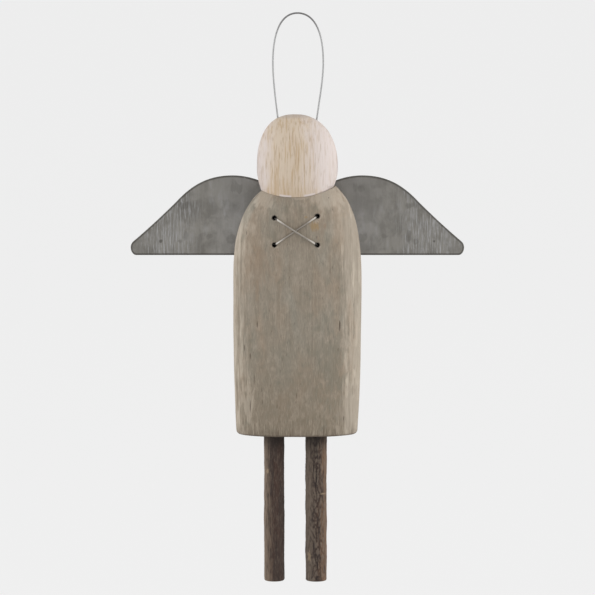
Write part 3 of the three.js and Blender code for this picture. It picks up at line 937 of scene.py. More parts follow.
def smudges(name):
    """Clouds, specks and upright scratches on weathered metal."""
    tree = GroupTree(name, {"Size": 9 * MM, "Seed": 0.0}, ("Clouds", "Specks", "Scratches"))
    given = tree.given
    drawn = tree.sized(tree.place(), tree.math("DIVIDE", 1, given["Size"]))
    clouds = tree.noise(drawn, size=1, detail=5, rough=0.6, distortion=0.4, seed=given["Seed"])
    specks = tree.noise(tree.mapped(drawn, (3.6, 3.6, 3)), size=1, detail=2, rough=0.5, seed=given["Seed"])
    leaning = tree.mapped(drawn, (16, 16, 1.3), turn=(0, 0.14, 0))
    scratches = tree.noise(leaning, size=1, rough=0.7, seed=given["Seed"])
    tree.put_out("Clouds", clouds, 0.3, 0.7)
    tree.put_out("Specks", specks, 0.56, 0.8)
    tree.put_out("Scratches", scratches, 0.42, 0.72)
    return tree.graph


GROUPS = {"wood_grain": wood_grain, "ragged_spot": ragged_spot, "smudges": smudges}


# Finishes


def washed_wood(finishes, sizes, wires, seat):
    """Grey-brown wash over upright grain, paler along the sides, partly rubbed back to the wood and partly
    painted rim light, and dark at the hem with painted shade on its rounded edge.
    """
    tree = FinishTree("taupe_washed_wood", finishes, "wash_dark", roughness=0.8)
    x, z = tree.axes("XZ")
    grain = tree.grain(width=1.6, length=42, seed=3)
    broad = tree.grain(width=6, length=60, depth=9, waviness=7, seed=8)
    short = tree.grain(width=1, length=9, depth=3, waviness=0.6, seed=14)
    clouded_wash(tree, grain)
    tree.lay("wash_low", z, sizes.wash_level, sizes.hem, 0, 0.8)
    flecked_wash(tree, short)
    # Paler sides: partly wood rubbed bare, partly painted light from the side lamps. The outermost edge is
    # held back as painted shade.
    side = tree.aside(x, sizes.half_width, 2 * MM)
    rubbed = tree.plus(side, grain["Streaks"], 0.16)
    rubbed = tree.plus(rubbed, broad["Streaks"], 0.2)
    rubbed = tree.plus(rubbed, short["Streaks"], 0.1)
    worn_and_rim_lit = tree.times(tree.fit(rubbed, 0.92, 1.3, 0, 0.85), tree.fit(side, 0.88, 1.05, 1, 0.45))
    tree.cover("worn_wood", worn_and_rim_lit)
    near_hem = tree.fit(z, sizes.hem, sizes.hem + 15 * MM, 1, 0)
    pale_ends = tree.times(near_hem, tree.fit(short["Streaks"], 0.62, 0.95))
    dark_ends = tree.times(near_hem, tree.fit(short["Streaks"], 0.1, 0.4, 1, 0))
    tree.tint("worn_wood", pale_ends, 0.36)
    tree.tint("crack", dark_ends, 0.4)
    body_marks(tree, sizes, wires, seat)
    tree.lay("crack", tree.value_of("relief"), -1, -0.3, 0.6, 0)
    # Painted shade along the hem's rounded lower edge, and a wider band darker towards the hem
    for height, share in ((1.6, 0.7), (7, 0.22)):
        tree.lay("crack", z, sizes.hem, sizes.hem + height * MM, share, 0)
    tree.bump(grain["Fibres"], strength=0.2, depth=0.12)
    return tree.finished()


def clouded_wash(tree, grain):
    """The wash in its streaks, with warmer and cooler clouds."""
    tall = tree.mapped(tree.place(), (1, 1, 0.35))
    warm = tree.noise(tall, size=13 * MM, rough=0.5, distortion=0.6, seed=4)
    cool = tree.noise(tall, size=11 * MM, rough=0.5, distortion=0.6, seed=9)
    tree.cover("wash", grain["Streaks"])
    tree.lay("wash_warm", warm, 0.42, 0.66, 0, 0.85)
    tree.lay("wash_cool", cool, 0.47, 0.72, 0, 0.75)


def flecked_wash(tree, short):
    """Dark and pale blots in the wash, with pale fibres and dark pores."""
    tall = tree.mapped(tree.place(), (1, 1, 0.6))
    blots = tree.noise(tall, size=3.4 * MM, detail=4, rough=0.62, distortion=0.4, seed=6)
    tree.lay("wash_mottle", blots, 0.5, 0.72, 0, 0.45)
    tree.lay("worn_wood", blots, 0.3, 0.5, 0.16, 0)
    tree.lay("worn_wood", short["Fibres"], 0.5, 1, 0, 0.18)
    tree.tint("crack", short["Pores"], 0.4)


def body_marks(tree, sizes, wires, seat):
    """Marks of the front by middle, reach, raggedness, grain, share and colour, then its chips, the painted
    shade in the holes' mouths and its cracks.
    """
    hem = sizes.hem / MM
    neck = seat.middle / MM
    right_x = wires.right_x / MM
    right_z = neck - wires.upper_right / MM
    marks = (
        ((19, -14, hem + 42), (9, 12, 22), 1.2, 2, 0.35, "wash_mottle"),
        ((-22, -14, hem + 98), (6, 12, 15), 0.5, 2, 0.3, "rust"),
        ((-22.5, -14, hem + 83), (1.6, 12, 7), 0.8, 1.5, 0.35, "rust"),
        ((0.4, -15, neck - 0.2), (5, 6, 1.6), 0.5, 1.5, 0.2, "limed_tan"),
        ((right_x + 13, -10, neck - 14), (8, 14, 17), 0.4, 3, 0.16, "worn_wood"),
        ((17, -12, neck + 1), (14, 16, 11), 0.4, 3, 0.34, "worn_wood"),
        ((-28, -12, hem + 18), (4, 14, 18), 0.8, 2.5, 0.28, "worn_wood"),
        ((32, -8, hem + 46), (4, 14, 8), 0.6, 2, 0.35, "wash"),
        ((28, -10, hem + 90), (4, 14, 8), 0.6, 2, 0.35, "wash"),
        ((31, -8, hem + 115), (9, 16, 24), 0.5, 3, 0.55, "wash"),
        ((30, -8, hem + 14), (8, 16, 17), 0.6, 2, 0.5, "wash"),
        # Partly worn wood, partly painted light lifting the shade under the head's left edge
        ((-19, -10, neck + 1), (8, 14, 8), 0.6, 3, 0.32, "worn_wood"),
        ((-29, -8, hem + 122), (6, 14, 18), 0.8, 3, 0.2, "worn_wood"),
        ((right_x - 3, -16, right_z + 4.5), (2.4, 8, 3.6), 0.8, 1.2, 0.3, "wash_mottle"),
        ((right_x - 1.6, -16, right_z - 5.6), (3, 8, 3.4), 0.6, 1, 0.55, "ochre_wood"),
        ((right_x, -16, right_z - 2.9), (1.8, 8, 1.3), 0.8, 0.7, 0.25, "limed_tan"),
        ((right_x + 4.2, -16, right_z - 5.5), (0.9, 8, 1.5), 0.8, 0.7, 0.45, "rust"),
        ((right_x + 0.3, -16, right_z - 12.3), (0.5, 8, 1.7), 0.4, 0.7, 0.5, "rust"),
        ((right_x - 6.3, -16, right_z - 0.5), (1.2, 8, 0.7), 0.5, 0.6, 0.5, "ochre_wood"),
    )
    for centre, reach, ragged, grain, share, shade in marks:
        tree.tint(shade, tree.spot(centre, reach, ragged, grain), share)
    for across, up in lacing_holes(wires, seat):
        chip = tree.spot((across / MM + 0.9, -16, up / MM - 1.1), (1.5, 9, 1.3), ragged=0.6, grain=0.8)
        tree.tint("worn_wood", chip, 0.3)
        # Painted shade in the mouth of each lacing hole
        mouth = tree.spot((across / MM, -16, up / MM), (2, 9, 2), ragged=0.15, grain=0.8)
        tree.tint("hole_shade", mouth, 0.85)
    for across, up, reach, strength in CRACKS:
        crack = tree.spot((across, -12, hem + up), (CRACK_LINE, 14, reach), ragged=0.2, grain=0.9)
        tree.tint("crack", crack, 0.8 * strength)


def limed_wood(finishes, sizes, seat):
    """Whitewashed wood, tan in the middle and whiter on the cheeks, with brown streaks, short pores and
    painted shade on the crown's top and the outer cheeks.
    """
    tree = FinishTree("limed_wood", finishes, "limed_tan", roughness=0.75)
    x, z = tree.axes("XZ")
    grain = tree.grain(width=1.2, length=24, waviness=1, seed=21)
    fine = tree.grain(width=0.9, length=9, waviness=0.5, seed=17)
    broad = tree.grain(width=5, length=60, waviness=3, seed=5)
    side = tree.aside(x, sizes.half_width, 5 * MM)
    whiter = tree.plus(side, broad["Streaks"], 0.35)
    tree.lay("limed", whiter, 0.35, 1)
    streaks = tree.times(tree.fit(grain["Streaks"], 0.45, 1), tree.fit(whiter, 0.3, 1.15, 0.85, 0.15))
    tree.cover("limed_streak", streaks)
    lines = tree.times(tree.fit(fine["Streaks"], 0.58, 0.95), tree.fit(side, 0.4, 1, 0.45, 0.25))
    tree.cover("limed_pore", lines)
    pores = tree.times(grain["Pores"], tree.fit(side, 0.5, 1, 0.6, 0.3))
    tree.cover("limed_pore", pores)
    limed_base(tree, whiter, seat)
    crown = sizes.widest + sizes.crown_height
    # Painted shade on the crown's top and on the outer cheeks, where the head turns away from the lamps
    tree.lay("limed_edge_shade", z, crown - 2.6 * MM, crown - 0.8 * MM, 0, 0.5)
    tree.lay("limed_edge_shade", tree.aside(x, sizes.half_width), 0.95, 1, 0, 0.55)
    tree.bump(tree.plus(grain["Fibres"], grain["Pores"], -1.5), strength=0.3, depth=0.15)
    return tree.finished()


def limed_base(tree, whiter, seat):
    """The head's lower edge: browner, with two pale lips of painted highlight and a smear of the body's wash
    on the right.
    """
    x, z = tree.axes("XZ")
    above_seat = tree.value_of("above_seat")
    low = tree.times(tree.fit(above_seat, 1, 10, 0.35, 0), tree.fit(whiter, 0.5, 1.1, 1, 0))
    tree.cover("limed_streak", low)
    # Painted highlights where the lower edge catches the light
    lower_edge = tree.fit(above_seat, 0.8, 1.5, 1, 0)
    for middle, reach in LIP_HIGHLIGHTS:
        span = tree.band(x, (middle - reach) * MM, (middle + reach) * MM, 0.4 * MM)
        tree.tint("limed", tree.times(lower_edge, span), 0.9)
    wash_top = seat.middle + 5.9 * MM
    right = tree.fit(x, 17 * MM, 17.8 * MM)
    below = tree.fit(z, wash_top - 0.3 * MM, wash_top + 0.4 * MM, 1, 0)
    tree.tint("wash", tree.times(right, below), 0.25)


def aged_zinc(finishes, sizes):
    """Dull sheet metal: clouded, scratched upright and paler towards the tips, with darkened rims, painted
    light at the root and painted shade by the neck and on the right wing.
    """
    tree = FinishTree("aged_zinc", finishes, "zinc", roughness=0.55, metallic=0.45)
    x, z = tree.axes("XZ")
    wide = tree.smudges(size=13, seed=2)
    small = tree.smudges(size=6, seed=7)
    tall = tree.mapped(tree.place(), (1, 1, 0.35))
    brushed = tree.noise(tall, size=4.5 * MM, rough=0.6, distortion=0.3, seed=12)
    out = tree.aside(x, sizes.reach)
    tree.lay("zinc_dark", wide["Clouds"], 0.2, 1, 0, 0.8)
    tree.lay("zinc_dark", brushed, 0.5, 0.72, 0, 0.7)
    tree.lay("zinc_pale", brushed, 0.3, 0.48, 0.35, 0)
    # Painted light: the root is paler, lifting the shade that the body casts on it
    tree.lay("zinc_pale", out, 0.3, 0.6, 0.38, 0)
    # Painted shade: the right wing darker outwards, against the stronger right lamp
    tree.lay("zinc_dark", x, 0, 50 * MM, 0, 0.16)
    # Painted shadow: the upper root darker by the neck
    upper = tree.fit(z, sizes.lower_edge + 22 * MM, sizes.lower_edge + 36 * MM)
    neck_shadow = tree.times(upper, tree.fit(out, 0.4, 0.6, 1, 0))
    tree.tint("zinc_dark", neck_shadow, 0.42)
    tree.lay("zinc_dark", out, 0.88, 0.99, 0, 0.4)
    rubbed = tree.band(tree.plus(out, wide["Clouds"], 0.12), 0.7, 0.99, 0.11)
    scratched = tree.times(wide["Scratches"], tree.fit(rubbed, 0, 1, 0.08, 1))
    tree.cover("zinc_pale", scratched)
    marked = tree.times(small["Scratches"], tree.fit(rubbed, 0, 1, 0.05, 0.5))
    tree.cover("zinc_dark", marked)
    tree.tint("zinc_rim", wide["Specks"], 0.2)
    for side in (-1, 1):
        for away, up, half_width, half_height, strength in ZINC_SPOTS:
            centre = (side * away, sizes.front / MM, sizes.lower_edge / MM + up)
            dark = tree.spot(centre, (half_width, 4, half_height), ragged=0.6, grain=2.2)
            tree.tint("zinc_rim", dark, strength)
    tree.lay("zinc_rim", tree.value_of("rim"), 0, 0.6, 0, 0.85)
    tree.feed("Roughness", tree.plus(tree.fit(wide["Clouds"], 0, 1, 0.48, 0.66), scratched, -0.1))
    tree.bump(wide["Scratches"], strength=0.2, depth=0.08)
    return tree.finished()


def bark(finishes, twig, leg):
    """Twig bark: lighter on the lamps' sides, partly bark and partly painted light, dark cracks, redder
    patches, chips down to the wood and a painted shadow under the hem.
    """
    tree = FinishTree(twig["name"] + "_bark", finishes, "bark", roughness=0.9)
    x, z = tree.axes("XZ")
    grain = tree.grain(width=0.9, length=7, depth=0.9, waviness=1.6, seed=twig["seed"])
    broad = tree.grain(width=4, length=26, depth=4, waviness=5, seed=twig["seed"] + 1)
    relief = tree.value_of("relief")
    tree.lay("bark_red", broad["Streaks"], 0.2, 0.9, 0, twig["redness"])
    # Lighter side facing its lamp: partly bark colour, partly painted light
    across = tree.math("DIVIDE", tree.math("SUBTRACT", x, leg.middle.x), twig["lit_side"] * leg.radius)
    rubbed = tree.plus(across, broad["Streaks"], 0.35)
    rubbed = tree.plus(rubbed, grain["Streaks"], 0.5)
    tree.lay(twig["lit_side_colour"], rubbed, 0.5, 1.45, 0, 0.8)
    # The right leg's other side lighter too: partly grey bark, partly painted light from the other lamp
    other_side_lit = tree.math("SUBTRACT", tree.times(grain["Streaks"], 0.4), across)
    tree.lay("bark_grey", other_side_lit, 0.3, 0.9, 0, twig["other_side_light"])
    tree.lay("bark_grey", relief, -0.5, 0.5, 0, 0.6 * twig["cracked"])
    tree.lay("bark_crack", relief, -1.1, -0.25, 0.9, 0)
    tree.lay("bark_crack", grain["Streaks"], 0.05, 0.45, 0.55, 0)
    tree.lay("bark_grey", grain["Fibres"], 0.6, 1, 0, 0.4)
    # Painted shadow under the hem on the top of each leg
    tree.lay("bark_crack", z, leg.top - 12 * MM, leg.top, 0, 0.65)
    for aside, up, half_width, half_height in twig["chips"]:
        front = leg.middle.y - math.sqrt(leg.radius**2 - (aside * MM) ** 2)
        centre = (leg.middle.x / MM + aside, front / MM, leg.sole / MM + up)
        chip = tree.spot(centre, (half_width, 4, half_height), ragged=0.55, grain=0.5)
        tree.tint("bark_fleck", chip, 0.42)
    tree.bump(grain["Fibres"], strength=0.4, depth=0.2)
    return tree.finished()


def sawn_end(finishes, twig, leg):
    """End grain of a sawn twig: pale wood in rings round a dark pith."""
    tree = FinishTree(twig["name"] + "_sawn_end", finishes, "raw_wood", roughness=0.85)
    x, y = tree.axes("XY", tree.mapped(tree.place(), shift=(-leg.middle.x, -leg.middle.y, 0)))
    away = tree.math("SQRT", tree.math("ADD", tree.math("POWER", x, 2), tree.math("POWER", y, 2)))
    uneven = tree.noise(tree.place(), size=2 * MM)
    ringed = tree.plus(tree.math("DIVIDE", away, 0.9 * MM), uneven, 1.2)
    tree.lay("bark_ridge", tree.math("FRACT", ringed), 0.45, 1, 0, 0.45)
    tree.lay("bark", away, 0.5 * MM, 0.9 * MM, 0.8, 0)
    tree.bump(uneven, strength=0.4, depth=0.2)
    return tree.finished()


def raw_wood(finishes):
    """Bare whittled wood of the hidden dowel."""
    tree = FinishTree("raw_wood", finishes, "raw_wood", roughness=0.8)
    grain = tree.grain(width=0.9, length=20, seed=31)
    tree.lay("limed_streak", grain["Streaks"], 0.3, 1, 0, 0.6)
    tree.bump(grain["Fibres"], strength=0.3, depth=0.1)
    return tree.finished()


def drawn_wire(finishes, wires):
    """Plain steel wire, darker towards the top of the loop."""
    tree = FinishTree("drawn_wire", finishes, "wire", roughness=0.5, metallic=0.5)
    tree.shader["Specular IOR Level"].default_value = 0.2
    z = tree.axes("Z")[0]
    tarnish = tree.smudges(size=4, seed=11)
    tree.lay("zinc", tarnish["Clouds"], 0.4, 1, 0, 0.08)
    tree.lay("wire_top_dark", z, -wires.dark_top_length, 0, 0, 0.85)
    return tree.finished()


def laced_wire(name, finishes, wires, hidden_length, middle_shade):
    """The same wire, tarnished, with a painted highlight towards its holes, painted shade in the middle where
    the two pieces cross, and painted shade inside the holes.
    """
    tree = FinishTree(name, finishes, "wire_tarnish_and_shade", roughness=0.4, metallic=0.6)
    x, y = tree.axes("XY")
    middle = (wires.left_x + wires.right_x) / 2
    half_span = (wires.right_x - wires.left_x) / 2
    away = tree.math("ABSOLUTE", tree.math("SUBTRACT", x, middle))
    tarnish = tree.smudges(size=6, seed=11)
    # Painted highlight towards the holes, thinned by tarnish clouds; the middle keeps the tarnish and painted
    # shade
    highlight = tree.fit(away, 5.5 * MM, 10.5 * MM, 1 - middle_shade, 1)
    highlight = tree.plus(highlight, tarnish["Clouds"], -0.15)
    tree.cover("wire_highlight", highlight)
    # Painted shade where the wire runs into its holes
    rim = half_span - hidden_length
    near_hole = tree.fit(away, rim - 0.3 * MM, rim + 0.3 * MM)
    inside = tree.times(near_hole, tree.fit(y, HOLES_END - 2 * MM, HOLES_END, 1, 0))
    tree.tint("hole_shade", inside, 0.95)
    return tree.finished()


# Operators


class ANGEL_OT_stage(bpy.types.Operator):
    """Set up the camera, the soft lights and the pale floor"""

    bl_idname = "angel.stage"
    bl_label = "Stage"

    def execute(self, context):
        stage = context.scene.angel_stage
        self.camera(context, stage)
        self.lights(stage)
        self.world(context, stage)
        self.floor(stage)
        context.scene.view_settings.view_transform = "Standard"
        return {"FINISHED"}

    def camera(self, context, stage):
        back = Vector((0, -math.cos(stage.elevation), math.sin(stage.elevation)))
        target = Vector((stage.target_x, 0, stage.target_z))
        turn = (-back).to_track_quat("-Z", "Y").to_euler()
        bpy.ops.object.camera_add(location=target + back * stage.distance, rotation=turn)
        camera = context.object
        camera.name = "picture_camera"
        camera.data.sensor_width = SENSOR_WIDTH
        camera.data.lens = SENSOR_WIDTH * stage.focal_pixels / stage.picture_pixels
        context.scene.camera = camera

    def lights(self, stage):
        aim = Vector((0, 0, stage.target_z))
        powers = (stage.left_power, stage.right_power, stage.front_power)
        for (name, (place, size)), power in zip(SOFTBOXES.items(), powers):
            turn = (aim - Vector(place)).to_track_quat("-Z", "Y").to_euler()
            bpy.ops.object.light_add(type="AREA", location=place, rotation=turn)
            lamp = bpy.context.object
            lamp.name = name
            lamp.data.size = size
            lamp.data.energy = power

    def world(self, context, stage):
        """Even light from all round, with the backdrop's colour where it is seen or mirrored."""
        world = bpy.data.worlds.new("studio")
        world.use_nodes = True
        context.scene.world = world
        tree = Tree(world.node_tree)
        ambient = (stage.ambient,) * 3 + (1,)
        shade = tree.mix(self.seen(tree), ambient, stage.backdrop)
        tree.graph.links.new(shade, tree.graph.nodes["Background"].inputs["Color"])

    def seen(self, tree):
        """1 for what the camera sees, by itself or in a mirror, and 0 for light on other surfaces."""
        path = tree.add("ShaderNodeLightPath").outputs
        mirrored = tree.math("MAXIMUM", path["Is Glossy Ray"], path["Is Transmission Ray"])
        return tree.math("MAXIMUM", path["Is Camera Ray"], mirrored)

    def floor(self, stage):
        level = (0, 0, cad_low.z - stage.floor_drop)
        floor = add_piece(bpy.ops.mesh.primitive_plane_add, "pale_floor", size=FLOOR_WIDTH, location=level)
        tree = MaterialTree("pale_floor", roughness=0.9)
        tree.shader["Base Color"].default_value = stage.backdrop
        tree.shader["Specular IOR Level"].default_value = 0
        light = {"Color": stage.backdrop, "Strength": stage.floor_glow}
        glow = tree.add("ShaderNodeEmission", light).outputs[0]
        share = tree.times(self.seen(tree), stage.floor_evenness)
        plain = tree.graph.nodes["Principled BSDF"].outputs[0]
        both = tree.add("ShaderNodeMixShader", {0: share, 1: plain, 2: glow}).outputs[0]
        tree.graph.links.new(both, tree.graph.nodes["Material Output"].inputs["Surface"])
        floor.data.materials.append(tree.material)


class ANGEL_OT_body(bpy.types.Operator):
    """Carve the body, drill it and wash it"""

    bl_idname = "angel.body"
    bl_label = "Body"

    def execute(self, context):
        scene = context.scene
        body, seat, wires = scene.angel_body, scene.angel_seat, scene.angel_wires
        outline = oval(BODY_SIDES, body.section_power, body.front_share)
        piece = loft("carved_body", outline, self.rings(body, seat))
        with editing(piece, lambda point: point.co.y > body.flat_back):
            bpy.ops.transform.resize(value=(1, 0, 1), center_override=(0, body.flat_back, 0))
        with editing(piece, lambda point: point.co.z < body.hem + TINY):
            bevel(body.hem_round, segments=4)
        self.scoop(piece, body, seat)
        round_off(piece)
        drill(piece, self.holes(scene))
        weigh(piece, "skin", lambda place: seat_fade(seat, place))
        roughen(piece, "skin", size=26, stretch=1.6, depth=0.5, seed=0.31)
        smooth = places(piece)
        roughen(piece, "skin", size=1, stretch=14, depth=0.1, seed=0.12)
        roughen(piece, "skin", size=1.1, stretch=11, depth=0.5, seed=0.7, stops=((0.12, 0), (0.2, 0.5)))
        self.split(piece, body)
        note_relief(piece, smooth, CHECK_DEPTH)
        settle(piece, "body", washed_wood(scene.angel_finishes, body, wires, seat))
        return {"FINISHED"}

    def rings(self, body, seat):
        """Rings from the hem up to the neck, then in across the seat."""
        widest = widest_level(body, seat)
        neck_share, span = shoulder_curve(body, seat)
        last_turn = math.acos(math.sqrt(neck_share))
        levels = [body.hem + (widest - body.hem) * i / BODY_RINGS for i in range(BODY_RINGS)]
        for i in range(SHOULDER_RINGS):
            turn = last_turn * i / SHOULDER_RINGS
            levels.append(widest + span * math.sin(turn) ** (2 / body.shoulder_power))
        levels += [neck_side(seat) - NECK_EDGE, neck_side(seat)]
        rings = []
        for z in levels:
            half = body_half(body, seat, z)
            rings.append((half, body_depth(body, seat, half), z))
        half, depth, z = rings[-1]
        return rings + [(half * share, depth * share, z) for share in SEAT_SHARES]

    def scoop(self, piece, body, seat):
        """Bends the shoulders and the top down into the saddle, and leans the neck and the hem."""
        widest = widest_level(body, seat)
        for vertex in piece.data.vertices:
            x, _, z = vertex.co
            if z > widest:
                half = max(body_half(body, seat, z), seat.half_width)
                share = (z - widest) / body.shoulder_length
                x += body.shoulder_lean * min(max((share - LEAN_START) / LEAN_SPAN, 0), 1)
                sink = seat_height(seat, x * seat.half_width / half) - neck_side(seat)
                vertex.co.x = x
                vertex.co.z = z + share**3 * sink
            else:
                below = (widest - z) / (widest - body.hem)
                vertex.co.x = x - body.hem_lean * below**2

    def split(self, piece, body):
        """Opens short cracks along the grain of the front."""
        spots = places(piece)
        facing = normals(piece)[:, 1] < CRACK_FACING
        for across, up, reach, strength in CRACKS:
            off = (spots[:, 0] / MM - across) / CRACK_OPENING
            along = np.clip(np.abs((spots[:, 2] - body.hem) / MM - up) / reach, 0, 1)
            spots[:, 1] += facing * CRACK_DEPTH * MM * strength * np.exp(-off * off) * (1 - along * along)
        piece.data.vertices.foreach_set("co", spots.ravel())
        piece.data.update()

    def holes(self, scene):
        """Lacing holes with worn mouths, sockets for the legs and a hole for the dowel."""
        body, seat, wires, legs = scene.angel_body, scene.angel_seat, scene.angel_wires, scene.angel_legs
        holes = []
        for x, z in lacing_holes(wires, seat):
            back = Vector((x, body.flat_back + CLEAR, z))
            front = Vector((x, body_front(body, seat, x, z) + MOUTH_DEPTH, z))
            holes.append((back, front, wires.hole_radius, wires.hole_radius * MOUTH_GROWTH))
        for twig in TWIGS:
            leg = Leg(twig, scene)
            top = leg.at(body.hem + legs.tenon_length + seat.gap)
            holes.append((top, leg.at(body.hem - CLEAR), legs.tenon_radius + seat.gap, 0))
        return holes + [dowel_hole(seat, dowel_low.z - seat.gap, seat.middle + WELL_CLEAR)]


class ANGEL_OT_head(bpy.types.Operator):
    """Carve the domed head and whitewash it"""

    bl_idname = "angel.head"
    bl_label = "Head"

    def execute(self, context):
        scene = context.scene
        head, seat = scene.angel_head, scene.angel_seat
        piece = loft("domed_head", oval(HEAD_SIDES, 2, 1), self.rings(head, seat))
        self.fit(piece, head, seat)
        round_off(piece)
        drill(piece, self.holes(scene))
        weigh(piece, "skin", lambda place: seat_fade(seat, place))
        roughen(piece, "skin", size=16, stretch=1.6, depth=0.35, seed=0.57)
        roughen(piece, "skin", size=0.9, stretch=12, depth=0.08, seed=0.23)
        note(piece, "above_seat", [(z - seat_height(seat, x)) / MM for x, _, z in places(piece)])
        settle(piece, "head", limed_wood(scene.angel_finishes, head, seat))
        return {"FINISHED"}

    def rings(self, head, seat):
        """Rings out from the middle of the base, up the cheeks and over the crown."""
        base = neck_side(seat) + head.rest_gap
        flat = head.base_half_width - head.chamfer
        halves = [(flat * share, base) for share in (*reversed(SEAT_SHARES), 1)]
        bottom = base + head.chamfer
        last_turn = math.acos(head.base_half_width / head.half_width)
        for i in range(CHEEK_RINGS):
            turn = last_turn * (1 - i / CHEEK_RINGS)
            z = head.widest - (head.widest - bottom) * math.sin(turn) / math.sin(last_turn)
            halves.append((head.half_width * math.cos(turn), z))
        for i in range(CROWN_RINGS + 1):
            turn = CROWN_TURN * i / CROWN_RINGS
            z = head.widest + head.crown_height * math.sin(turn) ** (2 / head.crown_power)
            halves.append((head.half_width * math.cos(turn) ** (2 / head.crown_power), z))
        deep = head.half_depth / head.half_width
        return [(half, half * deep, z) for half, z in halves]

    def fit(self, piece, head, seat):
        """Bends the base to the saddle and leans the crown."""
        bottom = neck_side(seat) + head.rest_gap + head.chamfer
        for vertex in piece.data.vertices:
            x, _, z = vertex.co
            if z < head.widest:
                below = min((head.widest - z) / (head.widest - bottom), 1)
                vertex.co.z = z + below * below * (seat_height(seat, x) - neck_side(seat))
            else:
                vertex.co.x = x + head.lean * ((z - head.widest) / head.crown_height) ** 2

    def holes(self, scene):
        """A hole for the dowel and one for each end of the hanger."""
        head, seat, wires = scene.angel_head, scene.angel_seat, scene.angel_wires
        holes = [dowel_hole(seat, dowel_high.z + seat.gap, seat.middle - WELL_CLEAR)]
        for side in (-1, 1):
            up = Vector((side * math.sin(head.hanger_splay), 0, math.cos(head.hanger_splay)))
            entry = Vector((side * head.hanger_out, 0, head.hanger_level))
            end = entry - up * head.hanger_depth
            holes.append((end, entry + up * WELL_CLEAR, wires.radius + seat.gap, 0))
        return holes


